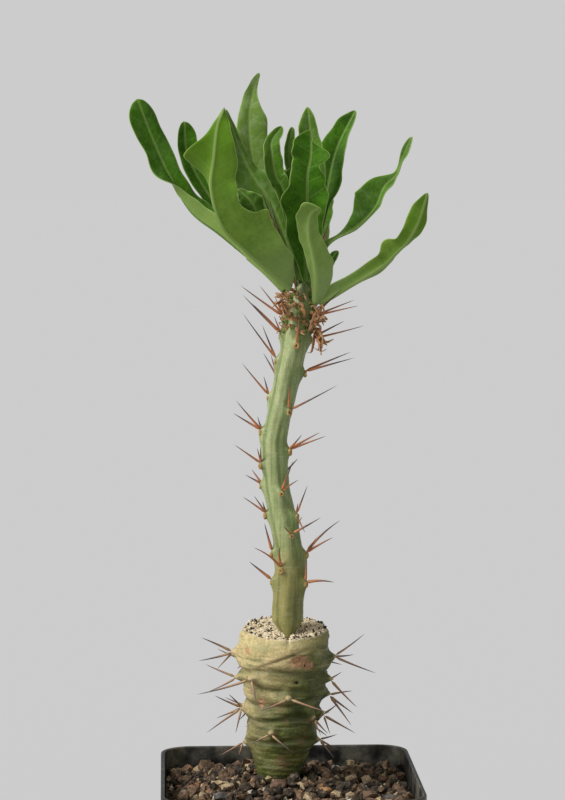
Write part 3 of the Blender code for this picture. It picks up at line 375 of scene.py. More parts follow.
# %% The leaves' shapes
LEAVES = {
    "leaf_far_left": dict(
        rib=(
            (-1.2, 7.5, 216.5), (-8, 8, 223), (-19, 11, 232), (-28, 14, 239),
            (-34, 16, 249), (-39, 17, 260), (-43.7, 17, 272.3),
        ),
        a=(0.8, 2.0, 3.2, 4.0, 4.4, 4.2, 3.6, 4.4, 4.2, 5.2, 4.4),
        b=(0.8, 2.2, 3.5, 4.6, 5.6, 6.4, 4.3, 3.9, 4.1, 4.0, 3.6),
        face=((0.65, -0.45, 0.65), (0.3, -1, 0.1)),
        fold=(50, 5),
        fold_a=(60, 70, 85, 100, 112, 112, 85, 12, 5, 5, 5),
        fold_b=(50, 40, 35, 30, 25, 22, 18, 12, 8, 5, 5),
        wave=(0.5, 2.5, 0.1),
    ),
    "leaf_back_left": dict(
        rib=(
            (0.5, 9.5, 217), (-7, 13, 228), (-17, 18, 236), (-24, 22, 246),
            (-29, 24, 256), (-30, 24, 266),
        ),
        a=(0.7, 1.5, 2.5, 3.0, 3.0, 2.6, 2.2),
        b=(0.7, 1.5, 2.5, 3.2, 3.5, 3.6, 3.2),
        face=((0.4, -0.7, 0.6), (0.2, -1, 0.1)),
        fold=(25, 12),
        wave=(0.5, 2.0, 0.3),
    ),
    "leaf_big_left": dict(
        rib=(
            (0.0, 0.2, 217.2), (-6, -3, 222.4), (-13, -7, 228.8), (-19.6, -11, 235.6),
            (-22.7, -15, 246), (-22, -17, 255), (-21, -17, 263.5), (-19, -16, 268.8),
        ),
        a=(1.2, 7.5, 10.8, 11.8, 12.8, 7.6, 7.4, 6.6, 5.2, 3.0, 0.8),
        b=(1.0, 3.5, 4.6, 5.0, 4.6, 3.6, 2.6, 8.6, 3.4, 0.9, 0.5),
        face=((0.54, 0.5, 0.68), (0, 1, 0.1)),
        fold=(50, 0),
        fold_a=(50, 30, 22, 18, 15, 10, 5, 2, 0, 0, 0),
        fold_b=(60, 85, 95, 95, 95, 90, 45, 3, 0, 0, 0),
        wave=(0.7, 3.0, 0.2),
    ),
    "leaf_tall_back": dict(
        rib=(
            (2.2, 8.2, 219.2), (-1, 13, 231), (-5, 16, 241), (-10, 18, 255),
            (-11, 19, 267), (-9.6, 19, 275), (-8, 18, 280),
        ),
        a=(0.8, 1.4, 2.0, 2.6, 3.2, 3.7, 3.8, 3.0, 2.3, 1.5, 0.9),
        b=(0.8, 1.4, 2.0, 2.8, 3.6, 4.4, 5.6, 4.5, 1.6, 0.8, 0.8),
        face=((0.2, -0.8, 0.5), (0, -1, 0.2)),
        fold=(22, 8),
        wave=(0.6, 2.5, 0.0),
    ),
    "leaf_dark_left": dict(
        rib=(
            (1.6, 4.6, 219.6), (-1, 5, 231), (-5, 6, 242), (-11, 7, 251),
            (-15, 7, 260), (-18, 6, 269),
        ),
        a=(0.8, 4.0, 8.6, 9.4, 7.2, 3.8, 1.5),
        b=(0.8, 2.2, 4.5, 4.3, 2.2, 1.2, 0.8),
        face=((0.3, -0.9, 0.4), (0.4, -0.9, 0.3)),
        fold=(30, 25),
        fold_a=(30, 10, -12, -18, 0, 25, 25),
        wave=(0.9, 3.0, 0.4),
    ),
    "leaf_low_left": dict(
        rib=((1.2, 1.7, 219.0), (-2, -1, 225), (-7, -3, 234), (-11, -4, 242), (-15, -4, 246)),
        a=(0.7, 2.0, 3.4, 4.6, 3.2, 4.4, 1.6),
        b=(0.7, 2.0, 3.0, 2.6, 3.6, 2.2, 1.6),
        face=((0.3, -0.9, 0.4), (0.4, -0.9, 0.3)),
        fold=(20, 15),
        wave=(1.3, 3.4, 0.2),
    ),
    "leaf_centre_left": dict(
        rib=(
            (2.6, 2.6, 219.8), (1, 1, 234), (-2, 0, 246), (-4, 0, 250),
            (-5, 0, 256), (-5, 1, 260), (-2, 2, 264),
        ),
        a=(0.7, 1.5, 2.5, 3.0, 2.8, 1.9, 1.1),
        b=(0.7, 1.5, 2.5, 2.9, 2.9, 2.4, 1.5),
        face=((0.1, -1, 0.2), (0.1, -1, 0.1)),
        fold=(25, 20),
        wave=(0.5, 2.0, 0.1),
    ),
    "leaf_young_tall": dict(
        rib=((3.8, 5.6, 220.5), (2.5, 7.4, 234), (0.8, 7.8, 251), (0.1, 7, 257), (1.2, 7, 264)),
        a=(0.6, 1.0, 1.6, 1.8, 1.8, 1.5, 1.2),
        b=(0.6, 1.0, 1.6, 1.8, 1.8, 1.5, 1.2),
        face=((0.2, -1, 0.1), (0.2, -1, 0.1)),
        fold=(30, 25),
        wave=(0.3, 1.5, 0.0),
    ),
    "leaf_young_short": dict(
        rib=((3.2, 4.0, 220.4), (1.5, 3, 238), (-1, 2.5, 247), (0.5, 2, 252)),
        a=(0.6, 1.0, 1.3, 1.5, 1.4, 1.2, 1.0),
        b=(0.6, 1.0, 1.3, 1.5, 1.4, 1.2, 1.0),
        face=((0.2, -1, 0.1), (0.2, -1, 0.1)),
        fold=(30, 25),
        wave=(0.2, 1.5, 0.0),
    ),
    "leaf_centre_back": dict(
        rib=((5.2, 8.2, 219.3), (5, 10.4, 234), (8, 12, 249), (7, 13, 260), (6, 14, 270)),
        a=(0.7, 1.5, 2.5, 3.4, 4.6, 3.7, 1.3),
        b=(0.7, 1.5, 2.6, 3.2, 3.3, 2.4, 1.2),
        face=((0, -1, 0.3), (0, -1, 0.2)),
        fold=(25, 20),
        wave=(0.5, 2.5, 0.3),
    ),
    "leaf_centre": dict(
        rib=((5.0, 2.0, 219.3), (4.5, -1, 231), (5, -3, 243), (5, -4, 250), (6, -4, 256), (6, -3, 263)),
        a=(0.9, 2.8, 5.0, 6.4, 8.1, 6.2, 5.0, 5.3, 5.6, 5.4, 2.8),
        b=(0.9, 2.8, 4.6, 5.2, 6.2, 5.6, 5.4, 3.2, 5.4, 0.9, 0.6),
        face=((0, -1, 0.2), (0, -1, 0.1)),
        fold=(22, 12),
        wave=(0.6, 2.5, 0.0),
    ),
    "leaf_back_right": dict(
        rib=((7.4, 8.0, 217.2), (9.8, 11.4, 233), (12, 16, 246), (15, 19, 258), (20.6, 22, 269.2)),
        a=(0.8, 2.5, 4.5, 5.5, 5.5, 4.3, 1.6),
        b=(0.8, 0.9, 0.9, 1.0, 2.0, 4.4, 4.0, 3.6, 2.7, 1.9, 1.4),
        face=((-0.3, -0.9, 0.3), (-0.3, -1, 0.1)),
        fold=(25, 22),
        wave=(0.6, 2.0, 0.2),
    ),
    "leaf_front": dict(
        rib=(
            (7.6, 0.0, 213), (7.5, -6, 221), (6.2, -9, 228), (5, -11, 233),
            (5, -13, 238), (6, -14, 240), (7.5, -16, 241),
        ),
        a=(1.4, 4.6, 5.4, 5.0, 4.0, 3.3, 2.8, 2.6, 2.4, 2.2, 1.8),
        b=(0.9, 1.4, 2.0, 2.3, 2.6, 3.0, 3.4, 3.9, 3.8, 3.2, 2.0),
        face=((-0.1, 0.9, 0.4), (0, 0.5, 0.8)),
        fold=(15, 10),
        wave=(0.5, 2.0, 0.0),
    ),
    "leaf_right_upper": dict(
        rib=(
            (8.2, 6.0, 216.6), (11, 7, 229.5), (20, 8, 235), (25.5, 9, 240.5),
            (28.3, 10, 246.6), (31.8, 11, 250.2), (33.7, 12, 255), (36.4, 12, 261.3),
        ),
        a=(0.8, 2.4, 0.6, 4.2, 6.6, 6.7, 3.4, 1.5, 0.6, 1.2, 1.2),
        b=(0.8, 2.4, 0.5, 1.6, 3.2, 2.0, 3.6, 1.5, 0.8, 2.0, 1.5),
        face=((-0.42, -0.7, 0.56), (-0.6, -0.8, 0.2)),
        fold=(40, 30),
        wave=(0.5, 2.5, 0.0),
    ),
    "leaf_right_lower": dict(
        rib=(
            (9.0, 2.6, 212.9), (16, 0, 217.3), (26, -4, 223.8), (30, -7, 227.8),
            (33, -9, 231), (36.2, -11, 237), (38.6, -12, 245),
        ),
        a=(0.9, 1.2, 1.0, 2.9, 1.6, 0.8, 0.9, 2.0, 2.9, 1.8, 1.4),
        b=(1.2, 3.2, 2.7, 3.5, 3.8, 4.7, 3.9, 3.3, 3.5, 3.1, 1.8),
        face=((-0.2, 0.8, 0.6), (-0.3, 0.9, 0.3)),
        fold=(25, 8),
        wave=(0.5, 3.0, 0.3),
    ),
    "leaf_small_right": dict(
        rib=((7.6, 8.8, 214.6), (11, 12, 222), (15, 16, 228)),
        a=(0.6, 1.0, 1.5, 2.0, 2.0, 1.5, 1.0),
        b=(0.6, 1.0, 1.5, 2.0, 2.0, 1.5, 1.0),
        face=((-0.4, -0.8, 0.4), (-0.4, -0.8, 0.4)),
        fold=(20, 15),
        wave=(0.3, 1.5, 0.0),
    ),
    "leaf_rear_centre": dict(
        rib=((3.4, 10.0, 216.0), (1, 17, 229), (0, 25, 241), (1, 31, 252)),
        a=(0.8, 2.0, 4.0, 5.0, 5.0, 4.0, 2.5),
        b=(0.8, 2.0, 4.0, 5.0, 5.0, 4.0, 2.5),
        face=((0.1, -0.7, 0.7), (0, -0.9, 0.4)),
        fold=(25, 10),
        wave=(0.7, 2.5, 0.2),
    ),
    "leaf_rear_right": dict(
        rib=((5.8, 10.0, 214.6), (8.4, 18, 228), (10, 26, 239), (11, 32, 248)),
        a=(0.8, 2.0, 4.0, 4.6, 4.6, 4.0, 2.5),
        b=(0.8, 2.0, 4.0, 4.6, 4.6, 4.0, 2.5),
        face=((-0.3, -0.7, 0.7), (-0.2, -0.8, 0.5)),
        fold=(25, 10),
        wave=(0.7, 2.5, 0.6),
    ),
    "leaf_rear_left": dict(
        rib=((0.9, 9.6, 213.8), (-6, 18, 223), (-13, 28, 231), (-17, 36, 239)),
        a=(0.8, 2.0, 4.0, 5.0, 5.0, 4.2, 2.5),
        b=(0.8, 2.0, 4.0, 5.0, 5.0, 4.2, 2.5),
        face=((0.4, -0.6, 0.8), (0.3, -0.7, 0.6)),
        fold=(25, 10),
        wave=(0.8, 2.5, 0.4),
    ),
    "leaf_rear_low": dict(
        rib=((4.6, 10.4, 212.8), (5.5, 20, 219), (5, 32, 224), (4, 43, 231)),
        a=(0.8, 2.0, 4.0, 5.2, 5.2, 4.4, 2.5),
        b=(0.8, 2.0, 4.0, 5.2, 5.2, 4.4, 2.5),
        face=((0, -0.4, 0.9), (0, -0.6, 0.8)),
        fold=(25, 10),
        wave=(0.8, 2.5, 0.1),
    ),
}

# %% [markdown]
# One flat slab is modelled once: a grid, extruded to a closed sheet. Every leaf is a copy of it,
# bent to its own rule. The slab's x runs across the blade, its y from stalk to tip, and its z
# tells the upper face from the lower. The blade is thickest along the midrib, where the keel
# stands out below, and thins just inside the margin.

# %% One slab for every leaf
BLADE_ACROSS = 32
BLADE_ALONG = 110


def make_slab(name, across, along):
    nothing_selected()
    bpy.ops.mesh.primitive_grid_add(x_subdivisions=across, y_subdivisions=along, size=2)
    slab = bpy.context.object
    slab.name = name
    bpy.ops.object.mode_set(mode="EDIT")
    bpy.ops.mesh.select_all(action="SELECT")
    bpy.ops.mesh.extrude_region_move(TRANSFORM_OT_translate={"value": (0, 0, -1)})
    bpy.ops.mesh.select_all(action="SELECT")
    bpy.ops.mesh.normals_make_consistent(inside=False)
    bpy.ops.object.mode_set(mode="OBJECT")
    bpy.ops.object.shade_smooth()
    return slab


leaf_slab = make_slab("leaf_slab", BLADE_ACROSS, BLADE_ALONG)
print("leaf slab:", len(leaf_slab.data.polygons), "faces")

# %% [markdown]
# The rule below places any point of the slab. The halves fold up about the midrib, and the wave
# grows towards the margin. Smaller waves ride on it, because a real margin never repeats itself.
# The side veins are pressed a little into the upper face and stand out on the lower one.

# %% Bending a slab into a leaf
TIP_ROUND = 0.1
VEIN_EVERY = 6.0
VEIN_SLOPE = 0.75


def half_width(leaf, t, s):
    half = np.where(s > 0, through(leaf["b"], t)[:, 0], through(leaf["a"], t)[:, 0])
    turn = leaf["wave"][2] + np.where(s > 0, 0.43, 0.0)
    lobes = np.sin(2 * math.pi * (5.3 * t + 2 * turn)) + 0.6 * np.sin(2 * math.pi * (9.1 * t + 5 * turn))
    half = half * (1 + 0.035 * lobes)
    rounded = np.sqrt(np.clip(1 - ((t - 1 + TIP_ROUND) / TIP_ROUND) ** 2, 0.002, 1))
    return half * np.where(t > 1 - TIP_ROUND, rounded, 1.0)


def blade_middle(leaf, t, s):
    """Points of a leaf's middle surface for slab places t along and s across."""
    ahead, behind = np.minimum(t + 0.01, 1), np.maximum(t - 0.01, 0)
    along = unit(through(leaf["rib"], ahead) - through(leaf["rib"], behind))
    look = (1 - t)[:, None] * unit(leaf["face"][0]) + t[:, None] * unit(leaf["face"][1])
    across = unit(np.cross(along, look))
    up = np.cross(across, along)
    half = half_width(leaf, t, s)
    fold_a = through(leaf.get("fold_a", leaf["fold"]), t)[:, 0]
    fold_b = through(leaf.get("fold_b", leaf["fold"]), t)[:, 0]
    fold = np.radians(np.where(s > 0, fold_b, fold_a))
    high, count, start = leaf["wave"]
    shift = start + np.where(s > 0, 0.37, 0.0)
    swell = s * s * np.minimum(half / 3, 1.2)
    ripple = high * swell * np.sin(2 * math.pi * (count * t + shift))
    ripple += 0.22 * high * swell * np.sin(2 * math.pi * (2.9 * count * t + 3 * shift + 0.3))
    side = np.where(s > 0, 1.0, -1.0)
    reach = np.abs(s) * half
    spot = through(leaf["rib"], t) + across * (side * reach * np.cos(fold))[:, None]
    spot += up * (reach * np.sin(fold) + ripple)[:, None]
    near = np.minimum(np.abs(s) * 3, 1)
    normal = unit(up * np.cos(fold)[:, None] - across * (side * np.sin(fold) * near)[:, None])
    return spot, normal, half


def bend_blade(obj, leaf, thick, keel):
    """Bend a copy of the slab into a leaf and note where each vertex lies on it."""
    flat = points_of(obj)
    s, t, upper = flat[:, 0], (flat[:, 1] + 1) / 2, flat[:, 2] > -0.5
    spot, normal, half = blade_middle(leaf, t, s)
    length = np.linalg.norm(np.diff(through(leaf["rib"], np.linspace(0, 1, 60)), axis=0), axis=1).sum()
    across = s * half
    edge = (1 - np.abs(s)) * half
    body = thick * (0.35 + 0.65 * eased(edge, 0, 0.9))
    rib = np.exp(-((across / 0.75) ** 2)) * (1 - 0.8 * t)
    vein = np.abs(((t * length - np.abs(across) * VEIN_SLOPE) / VEIN_EVERY) % 1 - 0.5) * 2
    groove = eased(vein, 0.86, 1.0) * eased(np.abs(across), 0.3, 1.2) * eased(edge, 0, 1)
    rise = np.where(upper, body / 2 - 0.16 * rib - 0.05 * groove, -body / 2 - keel * rib - 0.05 * groove)
    place_points(obj, spot + normal * rise[:, None])
    note(obj, "under", np.where(upper, 0.0, 1.0))
    note(obj, "across", across)
    note(obj, "edge", edge)
    note(obj, "along", t)
    note(obj, "vein", vein)


def copy_of(obj, name):
    made = obj.copy()
    made.data = obj.data.copy()
    made.name = made.data.name = name
    bpy.context.scene.collection.objects.link(made)
    return made


# %% [markdown]
# The upper face is dark and velvety, and the underside is paler and greyer. Young leaves are paler than old
# ones. Each leaf has four numbers: how light its upper face is and how light its underside is, which is
# partly the leaf's own tone and partly painted sheen and light; how much of a painted yellow-green glow its
# tip has, standing in for light shining through the thin blade; and how much painted pale sheen its fine
# down carries. The four rear leaves share one set.

# %% Leaf material
LEAF_DARK = (0.023, 0.090, 0.001)
LEAF_GREEN = (0.052, 0.165, 0.003)
UNDER_DARK = (0.085, 0.180, 0.010)
UNDER_GREEN = (0.145, 0.255, 0.024)
RIB_PALE = (0.25, 0.36, 0.10)
MARGIN_PALE = (0.30, 0.42, 0.12)
# Painted glow: a yellow-green that stands in for light shining through a thin tip.
GLOW = (0.072, 0.175, 0.002)
# The fine down, with the pale sheen that it catches painted on.
DOWN_SHEEN = (0.30, 0.40, 0.19)
STALK_PALE = (0.27, 0.36, 0.15)


def make_leaf_material():
    material, tree, shader = new_material("leaf_blade", 0.50, specular=0.07, sheen=0.02)
    shader.inputs["Sheen Roughness"].default_value = 0.45
    shader.inputs["Sheen Tint"].default_value = (0.80, 0.95, 0.70, 1)
    under = mark(tree, "under")
    upper_colour = mottle(tree, LEAF_DARK, LEAF_GREEN, 5.0)
    lower_colour = mottle(tree, UNDER_DARK, UNDER_GREEN, 7.0)
    # Partly the leaf's own tone and partly painted sheen and light: each face is lightened by its leaf's
    # own share.
    upper_tone_and_painted_light = blend(tree, mark(tree, "upper_tone_and_painted_light"), upper_colour, UNDER_GREEN)
    lower_tone_and_painted_light = blend(tree, mark(tree, "lower_tone_and_painted_light"), lower_colour, RIB_PALE)
    colour = blend(tree, under, upper_tone_and_painted_light, lower_tone_and_painted_light)
    # Painted light: the tip is coloured as if lit from behind, by each leaf's own share.
    glow = sum_of(tree, "MULTIPLY", mark(tree, "glow"), step(tree, mark(tree, "along"), 0.35, 0.9))
    colour = blend(tree, glow, colour, GLOW)
    # Partly the fine down and partly painted sheen: pale patches where the down catches the light.
    down = sum_of(tree, "MULTIPLY_ADD", step(tree, spots(tree, 2.2, 5.0), 0.40, 0.72), 0.75, 0.25)
    down = sum_of(tree, "MULTIPLY", down, mark(tree, "down_sheen"))
    colour = blend(tree, down, colour, DOWN_SHEEN)
    vein = step(tree, mark(tree, "vein"), 0.80, 1.0)
    inside = step(tree, mark(tree, "edge"), 0.1, 1.2)
    vein = sum_of(tree, "MULTIPLY", vein, inside)
    colour = blend(tree, sum_of(tree, "MULTIPLY", vein, 0.13), colour, RIB_PALE)
    stalk = sum_of(tree, "MULTIPLY", step(tree, mark(tree, "along"), 0.36, 0.04), 0.45)
    colour = blend(tree, sum_of(tree, "MULTIPLY", stalk, under), colour, STALK_PALE)
    away = sum_of(tree, "ABSOLUTE", mark(tree, "across"))
    narrowing = sum_of(tree, "MULTIPLY_ADD", mark(tree, "along"), 1.3, 1.0)
    rib = step(tree, sum_of(tree, "MULTIPLY", away, narrowing), 1.10, 0.40)
    rib_share = sum_of(tree, "MULTIPLY", rib, sum_of(tree, "MULTIPLY_ADD", under, 0.40, 0.50))
    colour = blend(tree, rib_share, colour, RIB_PALE)
    margin = sum_of(tree, "MULTIPLY", step(tree, mark(tree, "edge"), 0.34, 0.05), 0.75)
    colour = blend(tree, margin, colour, MARGIN_PALE)
    feed(tree, colour, shader.inputs["Base Color"])
    rough = sum_of(tree, "MULTIPLY_ADD", spots(tree, 1.5), 0.3, 0.33)
    feed(tree, rough, shader.inputs["Roughness"])
    height = sum_of(tree, "SUBTRACT", relief(tree, 0.7), sum_of(tree, "MULTIPLY", vein, 0.5))
    bump(tree, shader, height, 0.07, 0.8)
    return material


leaf_material = make_leaf_material()

# %% [markdown]
# Now every leaf is made and laid over the measured one. The print shows how far each finished
# leaf's box lies from the measured leaf's box. It is under a millimetre for all but the low left
# leaf, whose curve, width and wave differ a little here, and under two millimetres for that one.

# %% Make the leaves
# For each leaf: how light the upper face and the underside are, partly the leaf's own tone and partly
# painted sheen and light; the tip's painted glow; and the painted sheen on the down.
LEAF_LIGHT = {
    "leaf_far_left": (0.05, 0.55, 0.0, 0.10),
    "leaf_back_left": (0.05, 0.10, 0.0, 0.05),
    "leaf_big_left": (0.10, 0.12, 0.85, 0.05),
    "leaf_tall_back": (0.80, 0.20, 0.0, 0.55),
    "leaf_dark_left": (0.34, 0.15, 0.0, 0.36),
    "leaf_low_left": (0.25, 0.10, 0.0, 0.15),
    "leaf_centre_left": (0.22, 0.20, 0.0, 0.12),
    "leaf_young_tall": (0.15, 0.20, 0.0, 0.14),
    "leaf_young_short": (0.25, 0.20, 0.0, 0.14),
    "leaf_centre_back": (0.30, 0.20, 0.0, 0.25),
    "leaf_centre": (0.06, 0.20, 0.0, 0.04),
    "leaf_back_right": (0.05, 0.10, 0.0, 0.06),
    "leaf_front": (0.20, 0.45, 0.3, 0.18),
    "leaf_right_upper": (0.14, 0.20, 0.0, 0.22),
    "leaf_right_lower": (0.14, 0.12, 0.6, 0.06),
    "leaf_small_right": (0.00, 0.00, 0.0, 0.05),
}
USUAL_LIGHT = (0.12, 0.15, 0.0, 0.12)
BLADE_THICK = 0.45
RIB_KEEL = 0.65

for name, leaf in LEAVES.items():
    blade = copy_of(leaf_slab, name + "_blade")
    bend_blade(blade, leaf, BLADE_THICK, RIB_KEEL)
    kinds = ("upper_tone_and_painted_light", "lower_tone_and_painted_light", "glow", "down_sheen")
    for title, value in zip(kinds, LEAF_LIGHT.get(name, USUAL_LIGHT)):
        note(blade, title, np.full(len(blade.data.vertices), value))
    belongs(blade, leaf_material, "leaf", name)
    low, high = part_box(name)
    made = points_of(blade)
    off = max(np.abs(made.min(0) - low).max(), np.abs(made.max(0) - high).max()) / MM
    print(f"{name}: {off:.1f} mm from the measured box")
bpy.data.objects.remove(leaf_slab)

# %% [markdown]
# ## The grafted stem
#
# The stem is a water-storing column with a smooth waxy skin. Each cluster of thorns sits on a low
# swelling that runs down the stem as a soft rib, and the foot is cut to a wedge for the graft.
# A ball with many rings makes a closed skin: its rings are spread up the stem, its poles close
# the two ends, and every vertex then takes the radius that the levels and swellings give it.

# %% The stem's levels and thorn clusters
STEM_LEVELS = (
    (120.6, 4.9, -0.4, 2.0),
    (125.5, 4.9, -0.2, 2.1),
    (130.5, 5.1, 0.3, 2.3),
    (135.5, 5.0, 0.7, 2.6),
    (139.0, 4.7, 0.3, 2.8),
    (144.0, 4.5, -0.4, 3.1),
    (149.0, 4.6, -1.3, 3.5),
    (154.0, 4.3, -2.4, 3.9),
    (159.5, 4.1, -3.4, 4.2),
    (162.5, 4.1, -3.6, 4.4),
    (167.5, 4.3, -4.0, 4.6),
    (173.0, 4.2, -4.2, 4.8),
    (178.0, 4.0, -3.1, 5.0),
    (185.5, 4.1, -1.4, 5.0),
    (192.5, 4.2, 0.0, 5.0),
    (199.5, 4.2, 1.6, 5.0),
    (207.0, 4.3, 2.8, 5.0),
    (213.0, 4.2, 3.8, 5.0),
    (216.5, 3.2, 4.2, 5.0),
    (218.6, 1.5, 4.4, 5.0),
)
WEDGE_TOP = 120.6
WEDGE_FOOT = 115.4
WEDGE_DEEP = 4.4
STEM_THORNS = (
    (209.0, 182, ((15.0, 0, 32), (10.9, 14, 48), (5.0, -22, 56))),
    (209.3, 336, ((12.8, -16, 33), (12.5, 10, 20), (14.8, -6, 13))),
    (204.0, 176, ((15.1, 0, 41), (11.7, 16, 45), (4.0, -20, 60))),
    (202.6, 348, ((10.7, 14, 26), (16.2, -4, 12))),
    (201.5, 272, ((9.0, 4, 50),)),
    (196.6, 184, ((15.7, 0, 49), (9.7, 16, 60))),
    (193.0, 358, ((14.6, 6, 22), (15.1, -8, 15))),
    (186.0, 182, ((11.4, 0, 46), (4.0, -26, 70))),
    (182.0, 300, ((15.0, 42, 26), (8.5, -20, 62))),
    (176.0, 184, ((9.3, -8, 26), (10.8, 8, 43), (3.0, 30, 60))),
    (170.4, 338, ((11.7, 4, 20), (9.8, 20, 28), (6.0, -16, 37))),
    (166.4, 205, ((9.3, -10, 32), (3.6, 16, 60), (3.8, 34, 66))),
    (160.3, 176, ((5.1, 4, 24), (4.1, -14, 45))),
    (158.5, 282, ((9.0, 20, 58), (5.0, 44, 36))),
    (151.8, 190, ((8.0, -4, 33), (5.8, 12, 45), (3.0, 30, 52))),
    (151.6, 328, ((3.0, -30, 50), (7.6, 8, 64), (4.5, 0, -50))),
    (146.3, 286, ((9.0, 46, 28), (2.6, -40, 35))),
    (140.5, 188, ((7.1, 0, 70),)),
    (140.2, 350, ((12.6, 6, 52), (4.5, -16, 30), (9.0, -4, 30))),
    (136.3, 236, ((9.0, -34, 48), (5.5, 20, 72))),
    (132.3, 184, ((8.2, 0, 35),)),
    (132.0, 322, ((6.0, -24, 70), (7.8, 26, 12))),
    (206.0, 95, ((12.0, -14, 34), (9.0, 14, 46))),
    (198.0, 62, ((12.0, -10, 30), (10.0, 14, 42))),
    (190.0, 118, ((11.0, -12, 34), (9.0, 12, 50))),
    (181.0, 74, ((10.0, -12, 30), (8.5, 12, 44))),
    (171.0, 104, ((9.5, -12, 32), (7.0, 12, 46))),
    (162.0, 66, ((9.0, -12, 28), (6.0, 14, 48))),
    (153.0, 112, ((8.0, -12, 34), (6.0, 12, 44))),
    (144.0, 76, ((9.0, -12, 30), (6.0, 12, 52))),
    (135.0, 108, ((8.0, -12, 26), (5.0, 12, 48))),
)


def grown(levels, z):
    """Radius and middle at heights z, eased through the levels."""
    table = np.asarray(levels, float)
    z = np.atleast_1d(np.asarray(z, float))
    rows, total = 0, 0
    for shift in np.linspace(-1.8, 1.8, 9):
        weight = math.exp(-(shift**2))
        rows = rows + weight * np.stack([np.interp(z + shift, table[:, 0], table[:, i]) for i in (1, 2, 3)])
        total += weight
    return rows / total


def swelling(z, bearing, radius, clusters, high, spread, tail):
    """The swellings under the thorn clusters, each drawn out downwards as a rib."""
    rise = np.zeros(len(z))
    for height, where, _ in clusters:
        turn = np.radians((bearing - where + 180) % 360 - 180) * radius
        drop = height - z
        stretch = np.where(drop > 0, tail, 1.0)
        rise += high * np.exp(-2 * ((turn / spread) ** 2 + (drop / (spread * stretch)) ** 2))
    return rise


# %% Model the stem
STEM_AROUND = 104
STEM_RINGS = 250
STEM_INSET = 0.42
SWELLING_HIGH = 1.15
SWELLING_SPREAD = 1.8
SWELLING_TAIL = 2.2


def build_stem():
    obj = ball("stem_skin_waxy", STEM_AROUND, STEM_RINGS)
    flat = points_of(obj)
    level = np.arccos(np.clip(-flat[:, 2], -1, 1)) / math.pi
    bearing = np.degrees(np.arctan2(flat[:, 1], flat[:, 0]))
    pole = np.abs(flat[:, 2]) > 0.99999
    edge = 1 / STEM_RINGS
    top = STEM_LEVELS[-1][0]
    z = WEDGE_FOOT + (top - WEDGE_FOOT) * np.clip((level - edge) / (1 - 2 * edge), 0, 1)
    radius, cx, cy = grown(STEM_LEVELS, np.maximum(z, WEDGE_TOP))
    b = np.radians(bearing)
    rise = swelling(z, bearing, radius, STEM_THORNS, SWELLING_HIGH, SWELLING_SPREAD, SWELLING_TAIL)
    rise += 0.11 * np.cos(5 * b + 0.02 * z) + 0.06 * np.cos(11 * b - 0.05 * z)
    place = np.stack([cx + radius * np.cos(b), cy + radius * np.sin(b), z], 1)
    rise += 0.10 * uneven(place, 6.0, 3) + 0.035 * uneven(place * (1, 1, 3), 2.2, 4)
    radius = (radius - STEM_INSET + rise * eased(z, WEDGE_TOP - 2, WEDGE_TOP + 4)) * ~pole
    narrow = 0.12 + 0.88 * np.clip((z - WEDGE_FOOT) / (WEDGE_TOP - WEDGE_FOOT), 0, 1) ** 0.8
    foot_deep = WEDGE_DEEP / STEM_LEVELS[0][1]
    deep = np.where(z < WEDGE_TOP, np.interp(z, (WEDGE_FOOT, WEDGE_TOP), (foot_deep, 1)), 1)
    x = cx + radius * np.cos(b) * narrow
    y = cy + radius * np.sin(b) * deep
    place_points(obj, np.stack([x, y, z + 0.25 * pole * np.sign(flat[:, 2])], 1))
    note(obj, "height", z)
    note(obj, "swell", np.clip(swelling(z, bearing, radius + 0.1, STEM_THORNS, 1.0, 1.1, 1.3), 0, 1))
    note(obj, "rib", 0.5 + 0.5 * np.cos(5 * b + 0.02 * z))
    # Painted light: how far each vertex faces the key light, so that the material can paint that side
    # lighter and the far side darker.
    note(obj, "lit_side", 0.5 - 0.5 * np.cos(b - math.radians(20)))
    return obj


# %% [markdown]
# The skin is grey-green under a thin wax. The side towards the key light is painted lighter and yellower
# and the far side darker, as painted light and shade, and the grooves between the soft ribs are painted
# darker, as painted shade. Fine pale streaks run lengthwise, and the skin turns tan and corky just round
# each thorn cluster.

# %% Stem material
# The first colour is the painted shade of the side away from the key light, and also the tone of the darker
# lengthwise streaks; the second is the painted light of the side towards it.
STEM_SHADE_AND_STREAK = (0.140, 0.205, 0.052)
STEM_LIT = (0.36, 0.39, 0.17)
STEM_STREAK = (0.42, 0.46, 0.30)
CORK_TAN = (0.45, 0.31, 0.13)


